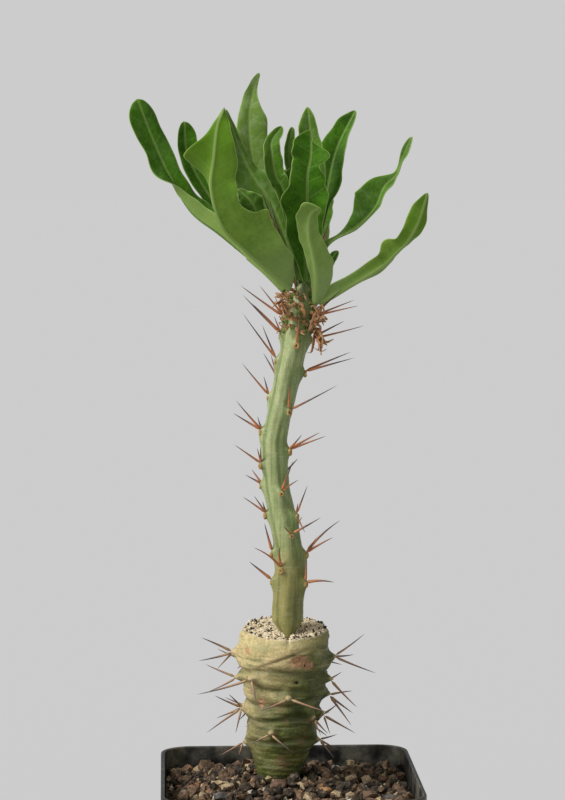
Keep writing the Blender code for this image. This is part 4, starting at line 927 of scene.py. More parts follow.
def make_stem_material():
    material, tree, shader = new_material("stem_wax", 0.42, specular=0.45, sheen=0.06)
    # Painted light and shade: the side towards the key light is painted lighter and yellower, the far side
    # darker.
    shade = mottle(tree, STEM_SHADE_AND_STREAK, (0.215, 0.285, 0.085), 3.0)
    lit_colour = mottle(tree, (0.27, 0.33, 0.13), STEM_LIT, 3.5)
    lit_side = sum_of(tree, "MULTIPLY_ADD", spots(tree, 6.0), 0.5, mark(tree, "lit_side"))
    colour = blend(tree, step(tree, lit_side, 0.45, 1.15), shade, lit_colour)
    streak = step(tree, spots(tree, 0.55, 3.0, (1, 1, 0.07)), 0.5, 0.75)
    colour = blend(tree, sum_of(tree, "MULTIPLY", streak, 0.45), colour, STEM_STREAK)
    dark = step(tree, spots(tree, 0.8, 2.0, (1, 1, 0.05)), 0.50, 0.30)
    colour = blend(tree, sum_of(tree, "MULTIPLY", dark, 0.5), colour, STEM_SHADE_AND_STREAK)
    # Painted shade: the grooves between the soft ribs are darkened.
    ragged = sum_of(tree, "MULTIPLY_ADD", spots(tree, 1.6, 3.0, (1, 1, 0.12)), 0.7, mark(tree, "rib"))
    groove = step(tree, ragged, 0.62, 0.38)
    colour = blend(tree, sum_of(tree, "MULTIPLY", groove, 0.52), colour, (0.078, 0.122, 0.022))
    low = sum_of(tree, "MULTIPLY_ADD", spots(tree, 4.0, 3.0, (1, 1, 0.3)), 16.0, mark(tree, "height"))
    low = step(tree, low, 160.0, 138.0)
    colour = blend(tree, low, colour, (0.82, 0.64, 0.45), "MULTIPLY")
    rings = step(tree, spots(tree, 0.5, 2.0, (0.12, 0.12, 1)), 0.62, 0.72)
    colour = blend(tree, sum_of(tree, "MULTIPLY", rings, 0.35), colour, STEM_STREAK)
    cork = step(tree, sum_of(tree, "MULTIPLY_ADD", spots(tree, 1.0), 0.5, mark(tree, "swell")), 0.75, 1.15)
    colour = blend(tree, sum_of(tree, "MULTIPLY", cork, 0.6), colour, CORK_TAN)
    feed(tree, colour, shader.inputs["Base Color"])
    feed(tree, sum_of(tree, "MULTIPLY_ADD", spots(tree, 0.9), 0.3, 0.32), shader.inputs["Roughness"])
    lines = sum_of(tree, "MULTIPLY_ADD", spots(tree, 0.5, 2.0, (1, 1, 0.08)), 0.8, relief(tree, 0.5))
    bump(tree, shader, lines, 0.10, 0.8)
    return material


stem = build_stem()
belongs(stem, make_stem_material(), "stem_skin", "scion_stem")
stem_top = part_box("scion_stem")[1][2] / MM
print("stem:", len(stem.data.polygons), "faces; the measured stem ends at", round(stem_top, 1), "mm")

# %% [markdown]
# ## Thorns
#
# A thorn is a slender cone with a swollen foot, never quite straight. A small ball of few faces
# is drawn out into one thorn; then it is copied to every place in the clusters, each copy with
# its own length, lean and bend. All the thorns of one plant are one piece, with a number along
# each thorn and a number for each thorn, so that the material can darken the tips and let every
# thorn differ.

# %% One thorn, and a way to plant many copies of a blank
def arrays_of(obj):
    """Vertices and faces of a blank, and the blank is removed."""
    points = points_of(obj)
    faces = [tuple(p.vertices) for p in obj.data.polygons]
    bpy.data.objects.remove(obj)
    return points, faces


def one_piece(name, parts, smooth):
    """Join copies, each a list of points in millimetres with the same faces, into one object."""
    points, faces, tones = [], [], []
    start = 0
    for place, own_faces, tone in parts:
        points.append(place)
        faces += [tuple(start + i for i in face) for face in own_faces]
        tones.append(np.full(len(place), tone))
        start += len(place)
    mesh = bpy.data.meshes.new(name)
    mesh.from_pydata((np.vstack(points) * MM).tolist(), [], faces)
    mesh.update()
    obj = bpy.data.objects.new(name, mesh)
    bpy.context.scene.collection.objects.link(obj)
    if smooth:
        mesh.shade_smooth()
    note(obj, "tone", np.concatenate(tones))
    return obj


thorn_points, thorn_faces = arrays_of(ball("thorn_blank", 8, 9))


def thorn_at(start, way, length, radius, bend, rng):
    """A thorn from start along way. Returns its points and how far along each of them is."""
    reach = np.arccos(np.clip(-thorn_points[:, 2], -1, 1)) / math.pi
    ring = np.hypot(thorn_points[:, 0], thorn_points[:, 1]) > 0.01
    wide = radius * ((1 - reach) ** 0.85 * 0.92 + 0.08) + 0.55 * radius * np.exp(-((reach / 0.07) ** 2))
    wide *= ring
    side = unit(np.cross(way, (0.3, 0.2, 1.0)))
    lift = np.cross(side, way)
    curl = bend * length * (reach**2)
    sway = rng.uniform(-0.5, 0.5) * bend * length * np.sin(reach * math.pi)
    angle = np.arctan2(thorn_points[:, 1], thorn_points[:, 0])
    points = (
        np.asarray(start)
        + np.outer(length * reach, way)
        + np.outer(wide * np.cos(angle) + sway, side)
        + np.outer(wide * np.sin(angle) + curl, lift)
    )
    return points, reach


CROOKED_BEND = 0.45
CROOKED_THICKER = 1.25


def plant_thorns(name, clusters, levels, knob, nipple, radius, bend, crooked, seed):
    """A plant's thorns: feet gathered on the nipples, tips spread, crooked below a height."""
    rng = np.random.default_rng(seed)
    parts, reaches, feet = [], [], []
    for height, bearing, thorns in clusters:
        wide, cx, cy = grown(levels, height)[:, 0]
        out = heading(bearing, 0)
        for length, off, rise in thorns:
            way = heading(bearing + off, rise)
            side = heading(bearing + off * 0.45, 0)
            tip = np.array([cx, cy, height + 0.03 * rise]) + side * (wide + knob - 0.5) + way * length
            apart = way - out * (way @ out)
            foot = np.array([cx, cy, height]) + out * (wide + nipple - 0.35) + 0.55 * apart
            drawn = tip - foot
            length = float(np.linalg.norm(drawn))
            own_radius = radius * (0.62 + 0.38 * min(length / 9, 1)) * rng.uniform(0.9, 1.12)
            lean = rng.uniform(-1, 1) * (bend if height > crooked else CROOKED_BEND)
            own_radius *= 1.0 if height > crooked else CROOKED_THICKER
            points, reach = thorn_at(foot, drawn / length, length, own_radius, lean, rng)
            parts.append((points, thorn_faces, rng.random()))
            reaches.append(reach)
        feet.append((np.array([cx, cy, height]) + out * (wide + nipple - 0.15) - (0, 0, 0.55), bearing))
    obj = one_piece(name, parts, True)
    note(obj, "reach", np.concatenate(reaches))
    return obj, feet


# %% [markdown]
# The stem's thorns are orange-red and weather to grey from the tip down, more on some than on
# others. The stock's thorns are older, a dull tan that greys towards the tip.

# %% Thorn material
def make_thorn_material(name, foot, middle, tip, grey_share):
    material, tree, shader = new_material(name, 0.5, specular=0.4)
    reach = mark(tree, "reach")
    wander = sum_of(tree, "MULTIPLY_ADD", spots(tree, 3.0), 0.35, reach)
    old = sum_of(tree, "MULTIPLY_ADD", mark(tree, "tone"), grey_share, wander)
    colour = blend(tree, step(tree, wander, 0.18, 0.62), foot, middle)
    colour = blend(tree, step(tree, old, 0.75, 1.25), colour, tip)
    weather = sum_of(tree, "MULTIPLY", step(tree, spots(tree, 1.3, 3.0), 0.50, 0.75), 0.5)
    colour = blend(tree, weather, colour, (0.20, 0.155, 0.125))
    feed(tree, colour, shader.inputs["Base Color"])
    bump(tree, shader, relief(tree, 0.35), 0.04, 0.7)
    return material


THORN_RADIUS = 0.41
CROOKED_BELOW = 148.0
stem_thorn_material = make_thorn_material(
    "stem_thorn", (0.58, 0.215, 0.072), (0.38, 0.14, 0.062), (0.085, 0.062, 0.052), 0.55
)
stem_thorns, stem_feet = plant_thorns(
    "stem_thorns", STEM_THORNS, STEM_LEVELS, knob=0.9, nipple=0.75,
    radius=THORN_RADIUS, bend=0.05, crooked=CROOKED_BELOW, seed=5,
)
belongs(stem_thorns, stem_thorn_material, "stem_skin")
print("stem thorns:", len(stem_thorns.data.polygons), "faces")

# %% [markdown]
# Where a leaf fell, and between the feet of its thorns, the stem keeps a small raised button:
# a cream corky ring round a brown, hollow middle. One button is a ball, flattened and dimpled.

# %% Leaf scars between the thorns
button_points, button_faces = arrays_of(ball("button_blank", 14, 10))


def make_buttons(name, feet, size, seed):
    rng = np.random.default_rng(seed)
    parts, middles = [], []
    for spot, bearing in feet:
        out, up = heading(bearing, 0), np.array([0, 0, 1.0])
        side = np.cross(up, out)
        scale = size * rng.uniform(0.8, 1.2)
        x, y, z = button_points.T
        away = np.hypot(x, y)
        dimple = 0.55 * np.exp(-((away / 0.42) ** 2)) * (z > 0)
        local = (
            np.outer(x * scale * 0.9, side)
            + np.outer(y * scale * 1.05, up)
            + np.outer((z * 0.62 - dimple) * scale, out)
        )
        points = spot + local + 0.08 * scale * uneven(local + spot, 0.9, seed)[:, None] * out
        parts.append((points, button_faces, rng.random()))
        middles.append(np.where(z > 0, np.exp(-((away / 0.5) ** 2)), 0))
    obj = one_piece(name, parts, True)
    note(obj, "middle", np.concatenate(middles))
    return obj


def make_button_material():
    material, tree, shader = new_material("leaf_scar", 0.8, specular=0.3)
    colour = mottle(tree, (0.25, 0.14, 0.045), (0.54, 0.38, 0.15), 0.8)
    colour = blend(tree, step(tree, mark(tree, "middle"), 0.45, 0.9), colour, (0.11, 0.055, 0.022))
    feed(tree, colour, shader.inputs["Base Color"])
    bump(tree, shader, relief(tree, 0.3), 0.08, 1.0)
    return material


button_material = make_button_material()
stem_buttons = make_buttons("stem_leaf_scars", stem_feet, 0.95, 11)
belongs(stem_buttons, button_material, "stem_skin")
print("leaf scars:", len(stem_feet))

# %% [markdown]
# ## The stock
#
# The stock is an older, fatter plant cut off flat to take the graft. Its corky skin is squeezed
# into horizontal creases as it ages, and each thorn cluster stands on a blunt nipple. The cut has
# healed to a crust in two lobes, either side of the V that holds the stem. The same ball is used:
# the upper rings are drawn in over the cut, and the V is pressed into them from the front.

# %% The stock's levels and thorn clusters
STOCK_LEVELS = (
    (56.0, 2.6, -3.0, 5.0),
    (63.0, 4.8, -3.0, 5.0),
    (70.0, 6.5, -3.0, 5.0),
    (74.0, 7.3, -2.9, 5.0),
    (78.0, 8.2, -2.5, 5.1),
    (82.0, 9.0, -2.4, 5.2),
    (85.0, 10.3, -2.1, 5.3),
    (90.0, 10.8, -1.9, 5.4),
    (95.0, 11.2, -1.6, 5.5),
    (98.5, 12.3, -0.9, 5.6),
    (103.0, 12.9, -1.3, 5.8),
    (108.0, 13.7, -1.3, 6.0),
    (112.0, 13.9, -1.4, 6.0),
    (115.5, 13.6, -1.0, 6.0),
    (117.6, 12.4, -0.9, 6.0),
    (118.6, 10.4, -0.9, 6.0),
)
CREASES = (85.5, 92.0, 97.0, 101.5, 106.0)
NOTCH_FLOOR = 115.0
NOTCH_SLOPE = 0.78
NOTCH_MIDDLE = -0.4
NOTCH_BACK = 6.8
CUT_MIDDLE = 117.6
CUT_TILT = 0.13
CUT_AXIS = 6.0
STOCK_THORNS = (
    (110.6, 180, ((10.3, 6, 25), (10.4, 0, -16), (6.6, -16, -41))),
    (109.2, 358, ((10.9, 8, 27), (13.2, -4, -21), (7.0, 24, -6))),
    (104.6, 226, ((14.5, -34, -21), (6.0, 30, -48))),
    (103.4, 186, ((9.8, -10, 16), (8.7, 4, -25))),
    (103.2, 342, ((3.4, 20, 18), (10.6, 8, -45))),
    (99.4, 272, ((4.6, -52, -34), (9.0, 50, -22))),
    (97.6, 2, ((7.5, 10, 8), (8.6, 0, -33), (10.0, -14, -45))),
    (94.6, 190, ((6.0, 16, 41), (9.0, 0, 19), (8.0, -14, -22), (12.5, 4, -27), (6.0, 24, -58))),
    (92.4, 318, ((5.0, -10, -42), (4.6, 18, -48))),
    (92.2, 352, ((5.2, 6, 25), (10.7, -2, -25), (4.6, -24, -52))),
    (88.8, 252, ((3.8, -46, -38), (4.8, 48, -50))),
    (84.8, 354, ((5.6, 8, 6), (6.7, -4, -22), (6.6, -18, -36))),
    (84.4, 188, ((8.2, 0, -26), (3.6, 26, -40))),
    (110.0, 92, ((10.0, 24, 18), (11.0, -22, -10), (6.0, 0, -40))),
    (107.0, 48, ((9.0, 20, 20), (9.0, -16, -18))),
    (106.0, 136, ((9.0, 20, 16), (10.0, -18, -20))),
    (99.6, 112, ((9.0, 22, 10), (9.0, -20, -26))),
    (98.4, 66, ((8.5, 18, 14), (9.5, -18, -24))),
    (92.6, 138, ((8.0, 16, 12), (8.5, -14, -28))),
    (92.0, 88, ((8.0, 22, 6), (8.0, -20, -30))),
    (88.0, 46, ((7.0, 14, 8), (7.5, -14, -30))),
    (86.0, 116, ((6.5, 14, 0), (6.5, -14, -28))),
)


def flat_cut(y):
    """Height of the cut without its V: a plane that tilts down to the front."""
    return CUT_MIDDLE + CUT_TILT * (y - CUT_AXIS)


def cut_height(x, y):
    """Height of the healed cut, with the V pressed into it."""
    flat = flat_cut(y)
    valley = NOTCH_FLOOR + np.abs(x - NOTCH_MIDDLE) / NOTCH_SLOPE
    held = eased(y, NOTCH_BACK + 1.5, NOTCH_BACK - 0.5)
    return flat - held * np.maximum(flat - valley, 0)


# %% Model the stock
SCARS = (
    (110.2, 287, 3.0),
    (108.6, 300, 2.2),
    (97.2, 229, 1.9),
    (112.4, 214, 1.5),
    (103.0, 150, 2.2),
    (95.0, 20, 2.0),
)
FOLD_LOW, FOLD_RISE, FOLD_FROM = 108.1, 0.10, 238.0
FOLD_PLACE = (110.4, 262, 6.5)
HOLES = ((103.6, 285, 0.7), (108.4, 297, 0.5), (102.6, 148, 0.6))


def patches(z, bearing, radius, places):
    """1 in the middle of each patch, fading over its size."""
    near = np.zeros(len(z))
    for height, where, size in places:
        turn = np.radians((bearing - where + 180) % 360 - 180) * radius
        near = np.maximum(near, np.exp(-((turn / size) ** 2) - ((z - height) / (0.8 * size)) ** 2))
    return near


STOCK_AROUND = 150
STOCK_RINGS = 170
CUT_RINGS = 34
SHOULDER = 117.2


def build_stock():
    obj = ball("stock_skin_creased", STOCK_AROUND, STOCK_RINGS)
    flat = points_of(obj)
    level = np.arccos(np.clip(-flat[:, 2], -1, 1)) / math.pi * STOCK_RINGS
    bearing = np.degrees(np.arctan2(flat[:, 1], flat[:, 0]))
    b = np.radians(bearing)
    side_rings = STOCK_RINGS - CUT_RINGS
    bottom = STOCK_LEVELS[0][0]
    z = bottom + (SHOULDER - bottom) * np.clip((level - 1) / (side_rings - 1), 0, 1)
    radius, cx, cy = grown(STOCK_LEVELS, z)
    skin = 0.75 * np.ones(len(z))
    for ring in CREASES:
        wander = ring + 0.7 * np.sin(2 * b + ring) + 0.35 * np.sin(5 * b + 2 * ring)
        skin -= 0.60 * np.exp(-(((z - wander) / 0.75) ** 2))
        skin += 0.28 * np.exp(-(((z - wander - 1.9) / 1.2) ** 2))
    skin += swelling(z, bearing, radius, STOCK_THORNS, 1.7, 2.3, 1.0)
    skin += 0.7 * swelling(z, bearing, radius, STOCK_THORNS, 1.0, 1.0, 1.0)
    place = np.stack([cx + radius * np.cos(b), cy + radius * np.sin(b), z], 1)
    fold_z = FOLD_LOW + FOLD_RISE * (bearing % 360 - FOLD_FROM)
    fold = np.exp(-(((z - fold_z) / 0.55) ** 2)) * patches(z, bearing, radius, (FOLD_PLACE,))
    skin -= 0.9 * fold
    healed, pierced = patches(z, bearing, radius, SCARS), patches(z, bearing, radius, HOLES)
    skin += 0.35 * healed * uneven(place, 1.3, 27) - 0.45 * healed - 0.8 * pierced
    skin += 0.30 * uneven(place, 9.0, 21) + 0.10 * uneven(place * (0.5, 0.5, 2.6), 3.0, 22)
    skin += 0.05 * uneven(place * (0.3, 0.3, 4), 1.8, 23)
    draw_in = 1 - np.clip((level - side_rings) / CUT_RINGS, 0, 1)
    lip = 1 + 0.025 * np.sin(draw_in * math.pi)
    wide = (radius - 1.25 + skin * eased(z, 72, 80)) * np.where(level > side_rings, draw_in * lip, 1)
    wide = np.where(level < 0.5, 0, wide)
    x, y = cx + wide * np.cos(b), cy + wide * np.sin(b)
    rim_x, rim_y = cx + radius * np.cos(b), cy + radius * np.sin(b)
    lift = cut_height(np.where(level > side_rings, x, rim_x), np.where(level > side_rings, y, rim_y))
    over = np.where(level > side_rings, 1.0, eased(z, SHOULDER - 9, SHOULDER))
    z = z + over * (lift - SHOULDER)
    lumps = uneven(np.stack([x, y, z], 1), 2.6, 24) * 0.35 + uneven(np.stack([x, y, z], 1), 1.1, 25) * 0.16
    crust = np.where(level > side_rings, eased(draw_in, 1.0, 0.9), 0.0)
    z = z + crust * (lumps + 0.25)
    place_points(obj, np.stack([x, y, z], 1))
    note(obj, "height", z)
    note(obj, "crust", eased(level, side_rings - 1.2, side_rings + 1.2))
    note(obj, "swell", np.clip(swelling(z, bearing, radius, STOCK_THORNS, 1.0, 1.5, 1.0), 0, 1))
    # Painted shade: a mask for darkening the creases and the fold.
    crease_shade = sum(np.exp(-(((z - ring - 0.7 * np.sin(2 * b + ring)) / 1.2) ** 2)) for ring in CREASES)
    note(obj, "crease_shade", np.clip(crease_shade + 1.2 * fold, 0, 1))
    # Painted light: how far each vertex faces the key light, so that the material can paint that side
    # paler.
    note(obj, "lit_side", 0.5 - 0.5 * np.cos(b - math.radians(4)))
    note(obj, "scar", healed)
    note(obj, "hole", pierced)
    return obj


# %% [markdown]
# Near the cut the skin is pale yellow-green and lower down it is olive. The side towards the key light is
# painted paler too, as painted light. The creases and the fold are painted darkest and the small pits
# nearly black, as painted shade. The crust is cream, speckled with grey and black. Round the nipples the
# skin is tan.

# %% Stock material
SCAR_TAN = (0.62, 0.35, 0.19)


def make_stock_material():
    material, tree, shader = new_material("stock_cork_skin", 0.6, specular=0.35)
    pale = mottle(tree, (0.38, 0.31, 0.13), (0.64, 0.51, 0.25), 5.0)
    olive = mottle(tree, (0.062, 0.078, 0.012), (0.170, 0.180, 0.038), 4.0)
    rise = sum_of(tree, "MULTIPLY_ADD", spots(tree, 9.0, 3.0), 18.0, mark(tree, "height"))
    # Painted light: the side towards the key light is pushed into the pale colour, as the top is.
    rise = sum_of(tree, "MULTIPLY_ADD", mark(tree, "lit_side"), 42.0, rise)
    old = step(tree, spots(tree, 5.5, 4.0, (1, 1, 1.5)), 0.47, 0.62)
    olive = blend(tree, sum_of(tree, "MULTIPLY", old, 0.70), olive, (0.030, 0.050, 0.008))
    colour = blend(tree, step(tree, rise, 120.0, 152.0), olive, pale)
    line = step(tree, spots(tree, 1.2, 3.0, (0.10, 0.10, 1)), 0.52, 0.68)
    colour = blend(tree, sum_of(tree, "MULTIPLY", line, 0.45), colour, (0.36, 0.36, 0.17))
    line = step(tree, spots(tree, 1.6, 3.0, (0.12, 0.12, 1)), 0.46, 0.34)
    colour = blend(tree, sum_of(tree, "MULTIPLY", line, 0.55), colour, (0.055, 0.065, 0.020))
    # Painted shade: the creases and the fold are darkened.
    deep = sum_of(tree, "MULTIPLY", mark(tree, "crease_shade"), 0.55)
    colour = blend(tree, deep, colour, (0.050, 0.065, 0.018))
    brown = step(tree, spots(tree, 5.0, 4.0), 0.56, 0.72)
    colour = blend(tree, sum_of(tree, "MULTIPLY", brown, 0.45), colour, (0.27, 0.15, 0.075))
    tan = step(tree, sum_of(tree, "MULTIPLY_ADD", spots(tree, 1.4), 0.6, mark(tree, "swell")), 0.62, 1.0)
    colour = blend(tree, sum_of(tree, "MULTIPLY", tan, 0.80), colour, (0.50, 0.38, 0.21))
    scar = sum_of(tree, "MULTIPLY_ADD", spots(tree, 1.6, 3.0), 0.9, mark(tree, "scar"))
    scar = sum_of(tree, "MULTIPLY", step(tree, scar, 0.75, 1.05), 0.80)
    colour = blend(tree, scar, colour, mottle(tree, (0.28, 0.11, 0.05), SCAR_TAN, 1.2))
    # Painted shade: the small pits are made nearly black for their depth.
    hole = step(tree, mark(tree, "hole"), 0.35, 0.65)
    colour = blend(tree, hole, colour, (0.012, 0.009, 0.008))
    crumb = mottle(tree, (0.44, 0.35, 0.22), (0.90, 0.77, 0.53), 0.9)
    black = step(tree, spots(tree, 0.8, 3.0), 0.57, 0.64)
    crumb = blend(tree, sum_of(tree, "MULTIPLY", black, 0.85), crumb, (0.035, 0.030, 0.027))
    colour = blend(tree, mark(tree, "crust"), colour, crumb)
    feed(tree, colour, shader.inputs["Base Color"])
    feed(tree, sum_of(tree, "MULTIPLY_ADD", spots(tree, 1.2), 0.3, 0.45), shader.inputs["Roughness"])
    fine = sum_of(tree, "MULTIPLY_ADD", spots(tree, 0.7, 3.0, (0.2, 0.2, 1)), 0.9, relief(tree, 0.6))
    bump(tree, shader, fine, 0.22, 0.9)
    return material


stock = build_stock()
belongs(stock, make_stock_material(), "stock_skin", "rootstock")

stock_thorn_material = make_thorn_material(
    "stock_thorn", (0.46, 0.31, 0.16), (0.34, 0.19, 0.12), (0.11, 0.085, 0.075), 0.5
)
stock_thorns, _ = plant_thorns(
    "stock_thorns", STOCK_THORNS, STOCK_LEVELS, knob=1.5, nipple=1.7,
    radius=THORN_RADIUS, bend=0.10, crooked=0.0, seed=9,
)
belongs(stock_thorns, stock_thorn_material, "stock_skin")
print("stock:", len(stock.data.polygons), "faces; thorns:", len(stock_thorns.data.polygons))

# %% [markdown]
# Crumbs of dry callus stand on the cut. A crumb is a small ball of twenty triangles; several
# hundred copies, each stretched and turned its own way, make the crust rough against the light.

# %% Crumbs on the cut
grain_points, grain_faces = arrays_of(lump("grain_blank", 1))


def turned(points, rng):
    """Points turned to a chance direction."""
    basis, _ = np.linalg.qr(rng.normal(size=(3, 3)))
    if np.linalg.det(basis) < 0:
        basis[:, 0] = -basis[:, 0]
    return points @ basis.T


def grain(rng, spot, size):
    shape = grain_points * rng.uniform(0.62, 1.28, size=(len(grain_points), 1))
    shape = shape * rng.uniform((0.8, 0.6, 0.45), (1.15, 1.0, 0.85)) * size / 2
    return turned(shape, rng) + spot


CRUMB_COUNT = 620
CRUST_RADIUS = 11.9
BURNT_BEYOND = 10.7
NOTCH_DEPTH_BARE = 1.5


def crumb_crust():
    rng = np.random.default_rng(41)
    _, cx, cy = grown(STOCK_LEVELS, 117.0)[:, 0]
    parts = []
    while len(parts) < CRUMB_COUNT:
        angle, out = rng.uniform(0, 2 * math.pi), CRUST_RADIUS * math.sqrt(rng.random())
        x, y = cx + out * math.cos(angle), cy + out * math.sin(angle)
        height = float(cut_height(x, y))
        if height < flat_cut(y) - NOTCH_DEPTH_BARE:
            continue
        size = rng.uniform(0.5, 1.3)
        burnt = 0.2 if out > BURNT_BEYOND and rng.random() < 0.55 else 1.0
        parts.append((grain(rng, (x, y, height + 0.25), size), grain_faces, burnt * rng.random()))
    return one_piece("callus_crumbs", parts, False)


def make_crumb_material():
    material, tree, shader = new_material("callus_crumb", 0.9, specular=0.2)
    tone = mark(tree, "tone")
    colour = blend(tree, step(tree, tone, 0.10, 0.35), (0.035, 0.030, 0.026), (0.52, 0.42, 0.28))
    cream = mottle(tree, (0.64, 0.52, 0.33), (0.90, 0.78, 0.56), 0.8)
    colour = blend(tree, step(tree, tone, 0.30, 0.6), colour, cream)
    feed(tree, colour, shader.inputs["Base Color"])
    bump(tree, shader, relief(tree, 0.25), 0.05, 1.0)
    return material


crumbs = crumb_crust()
belongs(crumbs, make_crumb_material(), "stock_skin")
print("crumbs on the cut:", CRUMB_COUNT)

# %% [markdown]
# ## Dry flowers, leaf stubs and the crown's spines
#
# Last season's flowers hang on as papery orange-brown shreds round the top of the stem. Each
# tuft is a handful of narrow strips, made from a short slab with the same rule as the leaves and
# curled more.

# %% Dry flowers
SCRAPS = (
    ((208.8, 240, 0.7), (212.0, 234, 3.0), (213.8, 226, 4.4)),
    ((205.2, 304, 0.7), (208.6, 308, 2.8), (211.6, 306, 3.6)),
    ((206.2, 322, 0.8), (204.2, 322, 3.2), (200.4, 320, 4.0)),
)
strip_slab = make_slab("strip_slab", 3, 10)
strip_flat = points_of(strip_slab)
strip_faces = [tuple(p.vertices) for p in strip_slab.data.polygons]
bpy.data.objects.remove(strip_slab)


def strip(rib, half, thick, curl, look):
    """A narrow papery strip as points in millimetres."""
    s, t, upper = strip_flat[:, 0], (strip_flat[:, 1] + 1) / 2, strip_flat[:, 2] > -0.5
    fold, wave = (curl, curl * 0.4), (0.25, 1.7, curl / 50)
    leaf = dict(rib=rib, a=half, b=half, face=(look, look), fold=fold, wave=wave)
    spot, normal, _ = blade_middle(leaf, t, s)
    return spot + normal * np.where(upper, thick / 2, -thick / 2)[:, None]


def off_stem(height, bearing, out):
    radius, cx, cy = grown(STEM_LEVELS, height)[:, 0]
    return np.array([cx, cy, height]) + heading(bearing, 0) * (radius + 0.6 + out)


def tuft(name, row, count, seed):
    rng = np.random.default_rng(seed)
    route = np.array([off_stem(*point) for point in row])
    parts = []
    for _ in range(count):
        spread = rng.normal(scale=(0.9, 0.7, 0.9), size=(3, 3)) * ((0.25,), (0.8,), (1.5,))
        rib = route + spread
        rib = np.vstack([rib, rib[-1] + rng.normal(scale=1.1, size=3) + (0, 0, -0.6)])
        look = unit(rng.normal(size=3))
        wide = rng.uniform(0.3, 0.8)
        half = (0.3 * wide, 0.9 * wide, 0.7 * wide, 0.15)
        parts.append((strip(rib, half, 0.16, rng.uniform(20, 70), look), strip_faces, rng.random()))
    return one_piece(name, parts, True)


def make_paper_material():
    material, tree, shader = new_material("dry_petal", 0.75, specular=0.25, sheen=0.1)
    colour = mottle(tree, (0.20, 0.065, 0.025), (0.50, 0.26, 0.10), 1.6)
    colour = blend(tree, sum_of(tree, "MULTIPLY", mark(tree, "tone"), 0.6), colour, (0.56, 0.36, 0.18))
    colour = blend(tree, step(tree, spots(tree, 0.9, 3.0), 0.58, 0.70), colour, (0.10, 0.035, 0.018))
    feed(tree, colour, shader.inputs["Base Color"])
    bump(tree, shader, relief(tree, 0.4), 0.08, 1.0)
    return material


STRIPS_IN_TUFT = 9
paper_material = make_paper_material()
for number, row in enumerate(SCRAPS, 1):
    dry = tuft(f"dry_flower_tuft_{number}", row, STRIPS_IN_TUFT, 60 + number)
    belongs(dry, paper_material, "dry_scrap", f"dry_flower_scrap_{number}")
print("tufts:", len(SCRAPS), "of", STRIPS_IN_TUFT, "strips")

# %% [markdown]
# Below the living leaves the crown keeps the stubs of the leaves it has shed, packed in a spiral:
# blunt green knobs with a brown scar. The ball that the leaf scars were made from is used again,
# drawn out into a knob. Each knob stands about a golden angle further round than the one below.

# %% Leaf stubs round the crown
STUB_COUNT = 44
STUB_LOWEST = 204.0
STUB_RISE = 0.29
SPIRAL_TURN = 137.5


def crown_stubs():
    rng = np.random.default_rng(52)
    parts, ends = [], []
    for number in range(STUB_COUNT):
        height = STUB_LOWEST + STUB_RISE * number
        bearing = number * SPIRAL_TURN + rng.uniform(-12, 12)
        radius, cx, cy = grown(STEM_LEVELS, height)[:, 0]
        way = heading(bearing, rng.uniform(25, 60))
        side = unit(np.cross(way, (0, 0, 1.0)))
        up = np.cross(side, way)
        long, wide = rng.uniform(1.1, 2.1), rng.uniform(0.85, 1.5)
        x, y, z = button_points.T
        away = np.hypot(x, y)
        hollow = 0.35 * np.exp(-((away / 0.5) ** 2)) * (z > 0)
        start = np.array([cx, cy, height]) + heading(bearing, 0) * (radius - 0.6)
        local = np.outer(x * wide, side) + np.outer(y * wide * 0.8, up) + np.outer((z - hollow) * long, way)
        points = start + local + 0.12 * uneven(local + start, 1.2, 53)[:, None] * way
        parts.append((points, button_faces, rng.random()))
        ends.append(np.clip(z, 0, 1))
    obj = one_piece("crown_leaf_stubs", parts, True)
    note(obj, "end", np.concatenate(ends))
    return obj


def make_stub_material():
    material, tree, shader = new_material("leaf_stub", 0.55, specular=0.3)
    green = mottle(tree, (0.045, 0.090, 0.010), (0.22, 0.30, 0.065), 1.6)
    brown = mottle(tree, (0.12, 0.045, 0.018), (0.34, 0.18, 0.07), 0.8)
    browned = sum_of(tree, "MULTIPLY_ADD", mark(tree, "tone"), 0.5, mark(tree, "end"))
    browned = sum_of(tree, "MULTIPLY_ADD", spots(tree, 1.0), 0.5, browned)
    feed(tree, blend(tree, step(tree, browned, 0.95, 1.45), green, brown), shader.inputs["Base Color"])
    bump(tree, shader, relief(tree, 0.35), 0.08, 1.0)
    return material


stubs = crown_stubs()
belongs(stubs, make_stub_material(), "stem_skin")
print("leaf stubs:", STUB_COUNT)

# %% [markdown]
# Shreds of papery bud scales are caught between the stubs and stick out at many angles. They are
# strips like the dry petals, but thinner and mostly shorter, placed by chance.

# %% Shreds of bud scale
SHRED_COUNT = 64


def crown_shreds():
    rng = np.random.default_rng(58)
    parts = []
    for _ in range(SHRED_COUNT):
        height, bearing = rng.uniform(204.5, 217.0), rng.uniform(0, 360)
        start = off_stem(height, bearing, -0.6)
        way = heading(bearing + rng.uniform(-50, 50), rng.uniform(-25, 75))
        length = rng.uniform(1.8, 5.2)
        steps = rng.normal(scale=0.35, size=(4, 3)) + np.outer((0, 0.35, 0.7, 1.0), way * length)
        steps[3] += (0, 0, -rng.uniform(0, 1.2))
        wide = rng.uniform(0.25, 0.75)
        half = (0.35 * wide, wide, 0.8 * wide, 0.2)
        shape = strip(start + steps, half, 0.10, rng.uniform(10, 70), unit(rng.normal(size=3)))
        parts.append((shape, strip_faces, rng.random()))
    return one_piece("crown_bud_shreds", parts, True)


belongs(crown_shreds(), paper_material, "dry_scrap")
print("shreds:", SHRED_COUNT)

# %% [markdown]
# Eight dark spines stand up among the leaves. Each is made like the stem's thorns, drawn from a foot to a
# tip that are listed.

